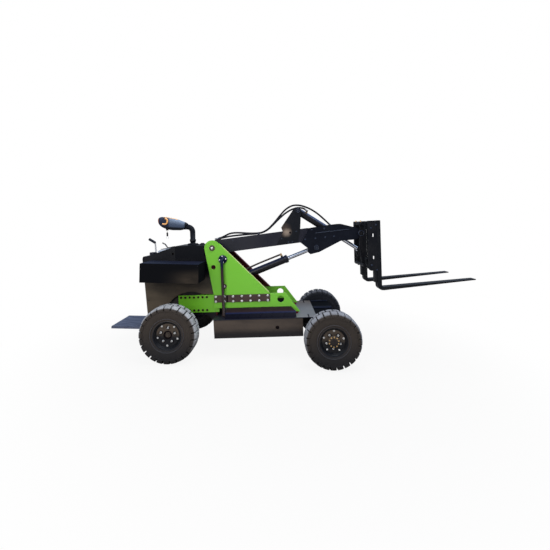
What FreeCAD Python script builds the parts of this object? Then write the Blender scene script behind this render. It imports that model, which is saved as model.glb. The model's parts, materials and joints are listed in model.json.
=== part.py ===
"""Compact stand-on loader: lifting boom with pallet forks on a short wheeled chassis.

Millimetres, +Z up, +X forwards, +Y to the machine's left.  The origin is on the ground,
midway between the rear edge of the operator's platform and the fork tips.

Two frames are used.  Wheels and axles are made in the ground frame, with X = 0 at the rear
axle.  All that is bolted to the chassis is made square in the chassis frame, which shares
the rear axle and is then tipped nose-up by RAKE, because the front axle hangs lower.
"""
import FreeCAD, Part
import math
import os

from FreeCAD import Vector

# ---------------------------------------------------------------- wheels and axles
TYRE_R = 295.0              # 6.50-10 industrial tyre, over the lugs
TYRE_WIDTH = 180.0
TYRE_BEAD_R = 130.0
TYRE_BEAD_HALF = 66.0       # half width over the beads
CROWN_HALF = 76.0           # half width over the lugs' tops
WALL_DROP = 57.0            # widest part of the wall below the lugs' tops
TREAD_DEPTH = 21.0          # groove's floor below the tops at its inner end
GROOVE_RUN_OUT = 52.0       # and where it runs out on the wall
GROOVE_TOP = 18.0           # groove's width between the lugs' tops
GROOVE_FLOOR = 12.0
CENTRE_RIB = 6.0            # left between the two rows of grooves
LUG_COUNT = 24              # in each of the two rows
RIM_SEAT_GAP = 0.5
RIM_T = 9.0
RIM_LIP_R = 151.0           # flange that holds the bead
RIM_LIP_T = 6.0
RIM_DISC_T = 12.0
RIM_DISC_INSET = 38.0       # disc's outer face inside the tyre's outer face
DISC_HOLE_R = 45.0
NUT_FLANGE_R = 88.0         # hub flange behind a steered wheel's disc
REAR_CAP_R = 29.0
REAR_CAP_INSET = 10.0       # cap's face inside the disc's outer face
REAR_CAP_T = 12.0
DRIVE_FLANGE_R = 62.0
DRIVE_FLANGE_T = 12.0
DRIVE_FLANGE_OUT = 26.0     # drive flange's face proud of the disc
HUB_INNER = 40.0            # hub's inner end from the tyre's centre plane
WHEELBASE = 1687.0
HALF_TRACK = 520.0          # tyre centre plane from the middle
RAKE = 3.8                  # degrees, chassis nose-up against the ground
AXLE_TUBE_R = 46.0
CASE_R = 118.0              # differential case
CASE_HALF = 90.0
STEER_KINGPIN_Y = 385.0
KINGPIN_R = 14.0
KNUCKLE_HALF_HEIGHT = 52.0
STUB_R = 26.0
HUB_R = 58.0
STEER_ARM = 110.0

# ---------------------------------------------------------------- chassis
DECK_Z = 371.0              # top of the deck plate
DECK_T = 8.0
DECK_REAR_X = 418.0
DECK_FRONT_X = WHEELBASE - 139.0
DECK_HALF_WIDTH = 360.0
BEAM_HALF_WIDTH = 177.0     # outer faces of the main beams
BEAM_WIDTH = 60.0
BEAM_DEPTH = 108.0
REAR_BEAM_TOP = 455.0
REAR_BEAM_DEPTH = 84.0
BEAM_REAR_X = -330.0
TANK_BOTTOM_Z = 165.0
TANK_FRONT_X = WHEELBASE - 292.0
TANK_INNER_Y = 190.0
TANK_GAP = 3.0              # tank inside the deck's edge
TANK_HOLE = (1115.0, 266.0)     # drain recess in the tank's face
TANK_HOLE_R = 21.0
TANK_HOLE_DEPTH = 14.0
CROSS_MEMBERS = (560.0, 900.0, 1240.0)
SILL_REAR_X = 545.0
SILL_FRONT_X = 1276.0       # at its upper edge
SILL_FOLD_Y = 315.0         # sill's fold, out from the middle
SILL_FOLD_Z = 412.0
SILL_FOOT_Y = 327.0
SILL_SLANT = 48.0           # its front end leans this far
NOSE_FRONT_X = WHEELBASE + 92.0
NOSE_DEPTH = 100.0
NOSE_HALF_WIDTH = 325.0

# ---------------------------------------------------------------- side plates and tower
PLATE_T = 12.0
PLATE_INNER_Y = 193.0       # tower plates, inner face
RAIL_REAR_X = -7.0
RAIL_FRONT_X = 457.0
RAIL_TOP_Z = 607.0
RAIL_BOTTOM_Z = 409.0
PLATE_BOTTOM_Z = 455.0
PLATE_REAR_X = 400.0
TOWER_FOOT_X = 1040.0       # where the sloping front edge meets the lug
LUG_END_X = 1221.0
LUG_TIP_X = 1378.0
LUG_TIP_Z = 394.0
LUG_HOLE_X = 1161.0         # tie-down hole
LUG_HOLE_Z = 539.0
LUG_HOLE_R = 39.0
PIVOT_X = 395.0             # boom pivot
PIVOT_Z = 1142.0
HEAD_R = 88.0
PIVOT_PIN_R = 25.0
LIFT_FOOT_X = 521.0         # lift cylinder's lower pin
LIFT_FOOT_Z = 701.0
LIFT_PIN_R = 20.0
FLANGE_T = 10.0
FLANGE_WIDTH = 45.0
SPLICE_T = 10.0
WEB_T = 12.0                # folded plates inside the tower
WEB_FOOT_X = 420.0
WEB_TOP = (352.0, 1010.0)
FLOOR_RIBS = (720.0, 1020.0)
PIPE_X = 514.0              # rigid pipe on the right of the tower
PIPE_TOP_Z = 1010.0
PIPE_R = 13.0
PIPE_STANDOFF = 34.0
PIPE_FLANGE_R = 46.0
TOWER_HOLE = (404.0, 922.0)
TOWER_HOLE_R = 26.0
SPLICE_TOP_Z = 603.0
SPLICE_BOTTOM_Z = 521.0

# ---------------------------------------------------------------- body
HOUSING_HALF_WIDTH = 181.0
HOUSING_WALL = 4.0
HOUSING_TOP_Z = 1175.0
HOUSING_FRONT_X = 300.0     # at the top; lower down it follows the tower's back plate
HOUSING_FRONT_GAP = 9.0     # to that plate
HOUSING_NECK_Z = 1050.0     # front face stays upright above this
HOUSING_FOOT_Z = 250.0
HOUSING_FOOT_X = -360.0
HOUSING_SHOULDER_X = -413.0
HOUSING_SHOULDER_Z = 1037.0
CONSOLE_FRONT_X = -36.0
CONSOLE_BASE_Z = 985.0
CONSOLE_EDGE = (-345.0, 1067.0)     # where the console's slope starts
CONSOLE_HOLE = (-61.0, 1086.0)
CONSOLE_HOLE_R = 13.0
PANEL_REAR_X = -250.0       # instrument panel on the slope
PANEL_FRONT_X = -108.0
PANEL_RISE = 26.0           # its rear edge above the slope
PANEL_HALF_WIDTH = 130.0
ARCH_X = 130.0
ARCH_Z = 335.0
ARCH_R = 310.0
HOUSING_SILL_Z = 615.0
SIDE_BOX_OUTER_Y = 470.0
SIDE_BOX_LENGTH = 620.0
SIDE_BOX_HEIGHT = 200.0
SIDE_BOX_X = -8.0           # middle
SIDE_BOX_Z = 903.0
SIDE_BOX_TILT = 2.8
PLATFORM_REAR_X = -777.0
PLATFORM_REAR_Z = 286.0
PLATFORM_HALF_WIDTH = 205.0
PLATFORM_TILT = 2.9
PLATFORM_T = 6.0
POST_X = 122.0
POST_R = 28.0
POST_BEND_R = 62.0
POST_TOP_Z = 1392.0
POD_RING = (-173.0, 1468.0)     # stop ring on the pod's cheeks
POD_RING_R = 38.0
POD_RING_IN = 60.0
POD_RING_OUT = 84.0
LEVER = ((-322.0, 1088.0), (-331.0, 1214.0), (-396.0, 1256.0))
SMALL_LEVER = ((-154.0, 1150.0), (-181.0, 1193.0), (-214.0, 1211.0))

# ---------------------------------------------------------------- boom
BOOM_ANGLE = 5.9            # degrees above the chassis
BOOM_DEPTH = 158.0
BOOM_WIDTH = 130.0
BOOM_BOX_END = 1130.0
BOOM_HUB_R = 50.0
BOOM_HUB_HALF = 185.0
HOSE_R = 9.0
NOSE_PLATE_T = 12.0
LIFT_HEAD = (1196.0, -161.0)    # upper pin of the lift cylinder, along and across the boom
TILT_REAR = (1037.0, 300.0)     # rear pin of the tilt cylinder
CARRIER_PIVOT = (1735.0, -62.0)
CARRIER_PIN_R = 20.0
TILT_PIN_R = 16.0
TILT_FRONT_DROP = 196.0     # tilt rod's pin below the carrier pivot
RUNNING = 0.05              # radial clearance of a pin in its bore

# ---------------------------------------------------------------- cylinders
LIFT_BARREL_R = 42.0
LIFT_BARREL_LENGTH = 790.0
LIFT_ROD_R = 24.0
LIFT_ROD_INSIDE = 420.0     # length of rod inside the barrel at rest
LIFT_STROKE_IN = 200.0      # room behind the rod's inner end
PORT_REAR = 120.0           # ports on the lift barrel, from its foot pin
PORT_FRONT = 732.0
LINE_R = 8.0                # hard line between them
LINE_RISE = 76.0            # above the barrel's axis
TILT_BARREL_R = 42.0
TILT_BARREL_LENGTH = 560.0
TILT_ROD_R = 22.0
TILT_ROD_INSIDE = 200.0
TILT_STROKE_IN = 120.0
EYE_HALF_WIDTH = 30.0
EYE_WALL = 14.0

# ---------------------------------------------------------------- carriage and forks
CARRIER_DEPTH = 48.0
CARRIER_REAR = 15.0         # carrier's rear edge behind its pivot
CARRIER_TOP = 136.0         # above the pivot
CARRIER_BOTTOM = 400.0      # below the pivot
CARRIER_EAR_Y = 95.0
CARRIER_EAR_T = 15.0
CARRIER_HALF_WIDTH = 160.0
FRAME_GAP = 18.0
FRAME_DEPTH = 62.0
FRAME_HALF_WIDTH = 310.0
FRAME_PLATE_T = 14.0
FRAME_SLOT_X = 74.0         # slots in the frame's side plates, ahead of the pivot
FRAME_SLOTS = (-20.0, -266.0)   # and their height from it
FRAME_SLOT_WIDTH = 15.0
FRAME_SLOT_HEIGHT = 38.0
FORK_Y = 262.0
FORK_WIDTH = 90.0
FORK_SHANK_T = 45.0
FORK_HEEL_T = 35.0
FORK_TIP_T = 10.0
FORK_LENGTH = 1040.0
FORK_HEEL_DROP = 632.0      # underside of the heel below the carrier pivot
FORK_RISE = 3.3             # degrees, blade's upper face against square

SIDES = {"right": -1.0, "left": 1.0}


# ================================================================ shape helpers
def box(x0, x1, y0, y1, z0, z1):
    """Block between two values on each axis."""
    low = Vector(min(x0, x1), min(y0, y1), min(z0, z1))
    return Part.makeBox(abs(x1 - x0), abs(y1 - y0), abs(z1 - z0), low)


def drum(start, end, radius):
    """Round bar from one point to another."""
    along = Vector(*end) - Vector(*start)
    return Part.makeCylinder(radius, along.Length, Vector(*start), along)


def cross_bar(x, z, radius, half):
    """Round bar across the machine, from -half to +half."""
    return drum((x, -half, z), (x, half, z), radius)


def side_span(side, inner, outer):
    """Low and high Y of a piece that lies between two distances from the middle."""
    return sorted((side * inner, side * outer))


def outline(points):
    """Closed wire in the XZ plane.  A point may carry a third value, its corner radius."""
    count = len(points)
    starts, ends, edges = [], [], []
    for i, point in enumerate(points):
        here = Vector(point[0], 0, point[1])
        radius = point[2] if len(point) > 2 else 0.0
        if radius <= 0.0:
            starts.append(here)
            ends.append(here)
            continue
        before = (Vector(points[i - 1][0], 0, points[i - 1][1]) - here).normalize()
        after = Vector(points[(i + 1) % count][0], 0, points[(i + 1) % count][1]) - here
        after.normalize()
        half = before.getAngle(after) / 2.0
        reach = radius / math.tan(half)
        middle = (before + after).normalize() * (radius / math.sin(half) - radius)
        start, end = here + before * reach, here + after * reach
        edges.append(Part.Arc(start, here + middle, end).toShape())
        starts.append(start)
        ends.append(end)
    for i in range(count):
        start, end = ends[i], starts[(i + 1) % count]
        if (end - start).Length > 1e-6:
            edges.append(Part.LineSegment(start, end).toShape())
    return Part.Wire(Part.__sortEdges__(edges))


def plate(points, y0, y1):
    """Flat plate with the given outline, between two values of Y."""
    low, high = min(y0, y1), max(y0, y1)
    face = Part.Face(outline(points))
    face.translate(Vector(0, low, 0))
    return face.extrude(Vector(0, high - low, 0))


def join(shapes):
    """One solid from touching shapes."""
    first = shapes[0]
    return first.fuse(list(shapes[1:])).removeSplitter() if len(shapes) > 1 else first


def spun(points, y_sign=1.0):
    """Solid of revolution about the Y axis from (radius, y) points."""
    ring = [Vector(radius, y_sign * y, 0) for radius, y in points]
    face = Part.Face(Part.makePolygon(ring + [ring[0]]))
    return face.revolve(Vector(0, 0, 0), Vector(0, 1, 0), 360)


def bent_bar(points, radius, bend):
    """Round bar along straight runs joined by tangent bends."""
    route = [Vector(*p) for p in points]
    edges, last = [], route[0]
    for i in range(1, len(route) - 1):
        before = (route[i - 1] - route[i]).normalize()
        after = (route[i + 1] - route[i]).normalize()
        half = before.getAngle(after) / 2.0
        reach = bend / math.tan(half)
        middle = (before + after).normalize() * (bend / math.sin(half) - bend)
        start, end = route[i] + before * reach, route[i] + after * reach
        edges.append(Part.LineSegment(last, start).toShape())
        edges.append(Part.Arc(start, route[i] + middle, end).toShape())
        last = end
    edges.append(Part.LineSegment(last, route[-1]).toShape())
    profile = Part.Wire(Part.makeCircle(radius, route[0], route[1] - route[0]))
    return Part.Wire(edges).makePipeShell([profile], True, True)


def moved(shape, x=0.0, y=0.0, z=0.0):
    """Copy of a shape, shifted."""
    copy = shape.copy()
    copy.translate(Vector(x, y, z))
    return copy


def tipped(shape, angle, x=0.0, z=0.0):
    """Copy of a shape, turned nose-up by an angle about a line across the machine."""
    copy = shape.copy()
    copy.rotate(Vector(x, 0, z), Vector(0, 1, 0), -angle)
    return copy


# ================================================================ frames
def chassis_point(x, z):
    """Ground-frame X and Z of a point given in the chassis frame."""
    angle, rise = math.radians(RAKE), z - TYRE_R
    return (x * math.cos(angle) - rise * math.sin(angle),
            TYRE_R + x * math.sin(angle) + rise * math.cos(angle))


def on_chassis(shape):
    """From the chassis frame to the ground frame."""
    return tipped(shape, RAKE, 0.0, TYRE_R)


def boom_point(along, across):
    """Chassis-frame X and Z of a point on the boom."""
    angle = math.radians(BOOM_ANGLE)
    return (PIVOT_X + along * math.cos(angle) - across * math.sin(angle),
            PIVOT_Z + along * math.sin(angle) + across * math.cos(angle))


def on_boom(shape):
    """From the boom's own frame, with its pivot at the origin, to the chassis frame."""
    return moved(tipped(shape, BOOM_ANGLE), PIVOT_X, 0.0, PIVOT_Z)


def between(shape, start, end):
    """Lay a shape that runs along +X from the origin on the line between two XZ points."""
    angle = math.degrees(math.atan2(end[1] - start[1], end[0] - start[0]))
    return moved(tipped(shape, angle), start[0], 0.0, start[1])


# ================================================================ wheels
def faceted(stations, sides, turn):
    """Ring about the Y axis with flat sides, from a closed run of (radius, y) stations."""
    def corner(k, radius, y):
        angle = turn + 2.0 * math.pi * k / sides
        return Vector(radius * math.cos(angle), y, radius * math.sin(angle))

    faces = []
    for low, high in zip(stations, stations[1:] + stations[:1]):
        for k in range(sides):
            flat = [corner(k, *low), corner(k + 1, *low), corner(k + 1, *high), corner(k, *high)]
            faces.append(Part.Face(Part.makePolygon(flat + flat[:1])))
    shell = Part.makeShell(faces)
    shell.sewShape()
    return Part.makeSolid(shell)


def groove(row):
    """Cutter for one groove of the row on the +Y or -Y side, on the +X side of the tyre."""
    start, half = CENTRE_RIB / 2.0, TYRE_WIDTH / 2.0
    floor = TYRE_R - TREAD_DEPTH
    fall = GROOVE_RUN_OUT - TREAD_DEPTH
    draft = (GROOVE_TOP - GROOVE_FLOOR) / 2.0 / TREAD_DEPTH
    height = GROOVE_RUN_OUT + TREAD_DEPTH
    wide = GROOVE_FLOOR / 2.0 + draft * height
    section = [(floor, -GROOVE_FLOOR / 2.0), (floor, GROOVE_FLOOR / 2.0),
               (floor + height, wide), (floor + height, -wide)]
    corners = [Vector(radius, row * start, z) for radius, z in section]
    face = Part.Face(Part.makePolygon(corners + corners[:1]))
    past = 1.1
    return face.extrude(Vector(-fall * past, row * (half - start) * past, 0))


def tyre():
    """Lug tyre about the Y axis: flat-sided ring with two staggered rows of grooves."""
    half = TYRE_WIDTH / 2.0
    side = [(TYRE_BEAD_R, TYRE_BEAD_HALF), (TYRE_R - WALL_DROP, half), (TYRE_R, CROWN_HALF)]
    stations = side + [(radius, -y) for radius, y in reversed(side)]
    sides = 2 * LUG_COUNT
    body = faceted(stations, sides, -math.pi / 2.0)
    grooves = []
    for row, shift in ((1.0, 0.5), (-1.0, 1.5)):
        blank = groove(row)
        for k in range(LUG_COUNT):
            one = blank.copy()
            one.rotate(Vector(0, 0, 0), Vector(0, 1, 0), 90.0 - (2 * k + shift) * 360.0 / sides)
            grooves.append(one)
    return body.cut(grooves)


def rim(driven):
    """Split rim with a recessed disc; the driven one carries the axle's hub flange."""
    disc = TYRE_WIDTH / 2.0 - RIM_DISC_INSET
    seat = TYRE_BEAD_R - RIM_SEAT_GAP
    inner = seat - RIM_T
    wall_slope = ((TYRE_WIDTH / 2.0 - TYRE_BEAD_HALF) /
                  (TYRE_R - WALL_DROP - TYRE_BEAD_R))
    root = TYRE_BEAD_HALF + RIM_SEAT_GAP
    lip = root + (RIM_LIP_R - TYRE_BEAD_R) * wall_slope
    flank = [(inner, disc + 2.0), (seat, root), (RIM_LIP_R - 12.0, lip + RIM_LIP_T - 2.0),
             (RIM_LIP_R - 6.0, lip + RIM_LIP_T), (RIM_LIP_R, lip + RIM_LIP_T - 2.0),
             (RIM_LIP_R, lip), (seat, root)]
    outer = [flank[0]] + flank[2:]
    band = spun([(radius, y) for radius, y in outer] +
                [(radius, -y) for radius, y in reversed(outer)])
    bore = STUB_R + RUNNING
    if driven:
        web = spun([(bore, disc - RIM_DISC_T), (inner, disc - RIM_DISC_T),
                    (inner, disc), (bore, disc)])
        face = disc + DRIVE_FLANGE_OUT
        hub = spun([(bore, -HUB_INNER), (HUB_R, -HUB_INNER), (HUB_R, face - DRIVE_FLANGE_T),
                    (bore, face - DRIVE_FLANGE_T)])
        cap = spun([(0.0, face - DRIVE_FLANGE_T), (DRIVE_FLANGE_R, face - DRIVE_FLANGE_T),
                    (DRIVE_FLANGE_R, face - 3.0), (DRIVE_FLANGE_R - 4.0, face), (0.0, face)])
        return join([band, web, hub, cap])
    web = spun([(DISC_HOLE_R, disc - RIM_DISC_T), (inner, disc - RIM_DISC_T),
                (inner, disc), (DISC_HOLE_R, disc)])
    end = rear_stub_end()
    hub = spun([(bore, -HUB_INNER), (HUB_R, -HUB_INNER), (HUB_R, disc - 2.0 * RIM_DISC_T),
                (NUT_FLANGE_R, disc - 2.0 * RIM_DISC_T), (NUT_FLANGE_R, disc - RIM_DISC_T),
                (bore, disc - RIM_DISC_T)])
    cap = spun([(0.0, end), (REAR_CAP_R, end), (REAR_CAP_R, end + REAR_CAP_T - 3.0),
                (REAR_CAP_R - 5.0, end + REAR_CAP_T), (0.0, end + REAR_CAP_T)])
    return join([band, web, hub, cap])


def rear_stub_end():
    """Outer end of a steered wheel's stub axle, from the tyre's centre plane."""
    return TYRE_WIDTH / 2.0 - RIM_DISC_INSET - REAR_CAP_INSET - REAR_CAP_T


def wheel_at(shape, x, side):
    """Put a wheel part, made with its outer side towards +Y, on its axle."""
    turned = shape.copy()
    if side < 0:
        turned = shape.mirror(Vector(0, 0, 0), Vector(0, 1, 0))
    return moved(turned, x, side * HALF_TRACK, TYRE_R)


def wheels():
    """Four tyres and four rims."""
    parts = {}
    for place, x, driven in (("front", WHEELBASE, True), ("rear", 0.0, False)):
        for name, side in SIDES.items():
            parts["tyre_%s_%s" % (place, name)] = wheel_at(tyre(), x, side)
            parts["rim_%s_%s" % (place, name)] = wheel_at(rim(driven), x, side)
    return parts


# ================================================================ axles
def hub_face_y():
    """Distance from the middle to the inner end of a wheel hub."""
    return HALF_TRACK - HUB_INNER


def front_axle():
    """Drive axle: tube, round differential case and a stub for each hub."""
    end = hub_face_y() - 6.0
    tube = cross_bar(0, 0, AXLE_TUBE_R, end)
    stub = cross_bar(0, 0, STUB_R, HALF_TRACK + TYRE_WIDTH / 2.0 - RIM_DISC_INSET)
    case = spun([(0.0, -CASE_HALF), (0.6 * CASE_R, -CASE_HALF + 12.0), (CASE_R, -30.0),
                 (CASE_R, 30.0), (0.6 * CASE_R, CASE_HALF - 12.0), (0.0, CASE_HALF)])
    axle = moved(join([tube, stub, case]), WHEELBASE, 0.0, TYRE_R)
    pads = []
    nose_bottom = DECK_Z - NOSE_DEPTH
    centre = WHEELBASE * math.cos(math.radians(RAKE))
    rear_top = chassis_point(centre - 55.0, nose_bottom)
    front_top = chassis_point(centre + 55.0, nose_bottom)
    for side in SIDES.values():
        y0, y1 = side_span(side, 230.0, 300.0)
        pads.append(plate([(WHEELBASE - 50.0, TYRE_R), (WHEELBASE + 50.0, TYRE_R),
                           front_top, rear_top], y0, y1))
    return join([axle] + pads)


def rear_axle():
    """Steer axle: beam with a fork at each end for the kingpins, and its mounting pads."""
    half = STEER_KINGPIN_Y - 40.0
    beam = box(-45.0, 45.0, -half, half, TYRE_R - 40.0, TYRE_R + 40.0)
    pieces = [beam]
    jaw = KNUCKLE_HALF_HEIGHT + 6.0
    for side in SIDES.values():
        y0, y1 = side_span(side, half - 10.0, STEER_KINGPIN_Y + KINGPIN_R + 6.0)
        for z0, z1 in ((TYRE_R + jaw, TYRE_R + jaw + 16.0), (TYRE_R - jaw - 16.0, TYRE_R - jaw)):
            pieces.append(box(-30.0, 30.0, y0, y1, z0, z1))
        y0, y1 = side_span(side, half - 26.0, half - 6.0)
        pieces.append(box(-30.0, 30.0, y0, y1, TYRE_R - jaw - 16.0, TYRE_R + jaw + 16.0))
        pin_top = (0, side * STEER_KINGPIN_Y, TYRE_R + jaw + 22.0)
        pin_bottom = (0, side * STEER_KINGPIN_Y, TYRE_R - jaw - 22.0)
        pieces.append(drum(pin_bottom, pin_top, KINGPIN_R))
        y0, y1 = side_span(side, BEAM_HALF_WIDTH - BEAM_WIDTH, BEAM_HALF_WIDTH)
        beam_bottom = REAR_BEAM_TOP - REAR_BEAM_DEPTH
        pieces.append(plate([(-45.0, TYRE_R), (45.0, TYRE_R),
                             chassis_point(60.0, beam_bottom),
                             chassis_point(-60.0, beam_bottom)], y0, y1))
    return join(pieces)


def knuckle(side):
    """Steering knuckle: upright round the kingpin, stub axle and steering arm."""
    y = side * STEER_KINGPIN_Y
    low, high = TYRE_R - KNUCKLE_HALF_HEIGHT, TYRE_R + KNUCKLE_HALF_HEIGHT
    upright = drum((0, y, low), (0, y, high), KINGPIN_R + 14.0)
    reach = side * (HALF_TRACK + rear_stub_end())
    stub = drum((0, y, TYRE_R), (0, reach, TYRE_R), STUB_R)
    collar = drum((0, y, TYRE_R), (0, side * (hub_face_y() - 6.0), TYRE_R), STUB_R + 10.0)
    arm = box(-STEER_ARM - 16.0, 0.0, y - 14.0, y + 14.0, low, low + 16.0)
    bore = drum((0, y, low - 1.0), (0, y, high + 1.0), KINGPIN_R + RUNNING)
    return join([upright, stub, collar, arm]).cut(bore)


def tie_rod():
    """Track rod under the two steering arms."""
    z = TYRE_R - KNUCKLE_HALF_HEIGHT - 18.0
    half = STEER_KINGPIN_Y
    rod = drum((-STEER_ARM, -half, z), (-STEER_ARM, half, z), 11.0)
    ends = [drum((-STEER_ARM, side * half, z - 13.0), (-STEER_ARM, side * half, z + 13.0), 18.0)
            for side in SIDES.values()]
    return join([rod] + ends)


# ================================================================ chassis
def main_frame():
    """Two box beams with a swan neck behind the deck, and their cross members."""
    beam_top = DECK_Z - DECK_T
    rear_bottom = REAR_BEAM_TOP - REAR_BEAM_DEPTH
    profile = [(BEAM_REAR_X, rear_bottom), (DECK_REAR_X - 90.0, rear_bottom, 30.0),
               (DECK_REAR_X + 10.0, beam_top - BEAM_DEPTH, 30.0),
               (DECK_FRONT_X, beam_top - BEAM_DEPTH), (DECK_FRONT_X, beam_top),
               (DECK_REAR_X - 6.0, beam_top), (DECK_REAR_X - 6.0, REAR_BEAM_TOP),
               (BEAM_REAR_X, REAR_BEAM_TOP)]
    inner = BEAM_HALF_WIDTH - BEAM_WIDTH
    pieces = [plate(profile, *side_span(side, inner, BEAM_HALF_WIDTH))
              for side in SIDES.values()]
    for x in (BEAM_REAR_X, DECK_REAR_X - 260.0):
        pieces.append(box(x, x + BEAM_WIDTH, -inner, inner, rear_bottom + 10.0,
                          REAR_BEAM_TOP - 10.0))
    for x in CROSS_MEMBERS:
        pieces.append(box(x, x + BEAM_WIDTH, -inner, inner, beam_top - BEAM_DEPTH + 10.0,
                          beam_top - 10.0))
    return join(pieces)


def deck_plate():
    """Deck over the beams and the side tanks."""
    return box(DECK_REAR_X, DECK_FRONT_X, -DECK_HALF_WIDTH, DECK_HALF_WIDTH,
               DECK_Z - DECK_T, DECK_Z)


def side_tanks():
    """Long tanks hung under the deck, one each side, with a drain recess in the face."""
    top = DECK_Z - DECK_T
    outer = DECK_HALF_WIDTH - TANK_GAP
    profile = [(DECK_REAR_X + 2.0, top), (DECK_REAR_X + 7.0, TANK_BOTTOM_Z, 6.0),
               (TANK_FRONT_X, TANK_BOTTOM_Z, 6.0), (TANK_FRONT_X, top)]
    x, z = TANK_HOLE
    tanks = []
    for side in SIDES.values():
        recess = drum((x, side * (outer - TANK_HOLE_DEPTH), z), (x, side * (outer + 1.0), z),
                      TANK_HOLE_R)
        tanks.append(plate(profile, *side_span(side, TANK_INNER_Y, outer)).cut(recess))
    return Part.makeCompound(tanks)


def front_crossbeam():
    """Box that closes the chassis nose and carries the front axle."""
    beam = box(DECK_FRONT_X, NOSE_FRONT_X, -NOSE_HALF_WIDTH, NOSE_HALF_WIDTH,
               DECK_Z - NOSE_DEPTH, DECK_Z)
    angle = math.radians(RAKE)
    axle = (WHEELBASE * math.cos(angle), TYRE_R - WHEELBASE * math.sin(angle))
    return beam.cut(moved(cross_bar(0, 0, CASE_R + 10.0, CASE_HALF + 8.0), axle[0], 0.0, axle[1]))


def sills():
    """Folded sill plates that stand on the deck beside the side plates."""
    root, outer = PLATE_INNER_Y + 2.0, PLATE_INNER_Y + PLATE_T + 3.0
    solids = []
    for side in SIDES.values():
        section = [(root, PLATE_BOTTOM_Z), (outer, PLATE_BOTTOM_Z), (SILL_FOLD_Y, SILL_FOLD_Z),
                   (SILL_FOOT_Y, DECK_Z), (root, DECK_Z)]
        ring = [Vector(SILL_REAR_X, side * y, z) for y, z in section]
        solid = Part.Face(Part.makePolygon(ring + ring[:1])).extrude(
            Vector(SILL_FRONT_X + SILL_SLANT - SILL_REAR_X, 0, 0))
        end = SILL_FRONT_X + SILL_SLANT
        slant = plate([(SILL_FRONT_X, PLATE_BOTTOM_Z + 1.0), (end + 1.0, PLATE_BOTTOM_Z + 1.0),
                       (end + 1.0, SILL_FOLD_Z)], side * (root - 1.0), side * (SILL_FOOT_Y + 1.0))
        solids.append(solid.cut(slant).cut(side_plate(side)))
    return Part.makeCompound(solids)


# ================================================================ side plates and tower
def slope_foot():
    """Where the line that leaves the tower's head meets the top of the lug."""
    return (TOWER_FOOT_X, RAIL_TOP_Z + 1.0)


def tangent_point(centre, radius, outside, turn):
    """Point where a line from outside touches a circle; turn picks the side."""
    dx, dz = outside[0] - centre[0], outside[1] - centre[1]
    angle = math.atan2(dz, dx) + turn * math.acos(radius / math.hypot(dx, dz))
    return (centre[0] + radius * math.cos(angle), centre[1] + radius * math.sin(angle)), angle


def side_plate(side):
    """Tower plate and front lug in one, with its bores and the strip on the sloping edge."""
    head = (PIVOT_X, PIVOT_Z)
    foot = slope_foot()
    heel = (PLATE_REAR_X, RAIL_TOP_Z - 4.0)
    front, front_angle = tangent_point(head, HEAD_R, foot, 1.0)
    rear, rear_angle = tangent_point(head, HEAD_R, heel, -1.0)
    rear_angle += 2.0 * math.pi if rear_angle < front_angle else 0.0
    middle = (front_angle + rear_angle) / 2.0
    crown = (head[0] + HEAD_R * math.cos(middle), head[1] + HEAD_R * math.sin(middle))

    def at(point):
        return Vector(point[0], 0, point[1])

    corners = [rear, heel, (PLATE_REAR_X, PLATE_BOTTOM_Z), (LUG_END_X + 51.0, PLATE_BOTTOM_Z),
               (LUG_TIP_X - 42.0, LUG_TIP_Z), (LUG_TIP_X, LUG_TIP_Z), (LUG_END_X, RAIL_TOP_Z + 1.0),
               foot, front]
    edges = [Part.LineSegment(at(a), at(b)).toShape() for a, b in zip(corners, corners[1:])]
    edges.append(Part.Arc(at(front), at(crown), at(rear)).toShape())
    face = Part.Face(Part.Wire(edges))
    y0, y1 = side_span(side, PLATE_INNER_Y, PLATE_INNER_Y + PLATE_T)
    face.translate(Vector(0, y0, 0))
    solid = face.extrude(Vector(0, y1 - y0, 0))
    slope = math.degrees(math.atan2(front[1] - foot[1], front[0] - foot[0]))
    length = math.hypot(front[0] - foot[0], front[1] - foot[1])
    y2, y3 = side_span(side, PLATE_INNER_Y - FLANGE_WIDTH, PLATE_INNER_Y)
    strip = box(20.0, length - 20.0, y2, y3, 0.0, FLANGE_T)
    strip = moved(tipped(strip, slope), foot[0], 0.0, foot[1])
    solid = join([solid, strip])
    for x, z, radius in ((PIVOT_X, PIVOT_Z, PIVOT_PIN_R), (LIFT_FOOT_X, LIFT_FOOT_Z, LIFT_PIN_R),
                         (LUG_HOLE_X, LUG_HOLE_Z, LUG_HOLE_R), TOWER_HOLE + (TOWER_HOLE_R,)):
        solid = solid.cut(drum((x, y0 - 1.0, z), (x, y1 + 1.0, z), radius))
    return solid


def rear_rails():
    """Rear chassis plates, lapped inside the tower plates."""
    profile = [(RAIL_REAR_X, RAIL_TOP_Z), (RAIL_REAR_X, RAIL_BOTTOM_Z),
               (RAIL_FRONT_X, RAIL_BOTTOM_Z), (RAIL_FRONT_X, RAIL_TOP_Z - 90.0),
               (PLATE_REAR_X + 2.0, RAIL_TOP_Z)]
    return Part.makeCompound([plate(profile, *side_span(side, HOUSING_HALF_WIDTH, PLATE_INNER_Y))
                              for side in SIDES.values()])


def splice_bars():
    """Bars bolted over the foot of each tower plate."""
    outer = PLATE_INNER_Y + PLATE_T
    profile = [(PLATE_REAR_X + 4.0, SPLICE_BOTTOM_Z), (TOWER_FOOT_X, SPLICE_BOTTOM_Z),
               (TOWER_FOOT_X, SPLICE_TOP_Z), (PLATE_REAR_X + 4.0, SPLICE_TOP_Z)]
    return Part.makeCompound([plate(profile, *side_span(side, outer, outer + SPLICE_T))
                              for side in SIDES.values()])


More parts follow.
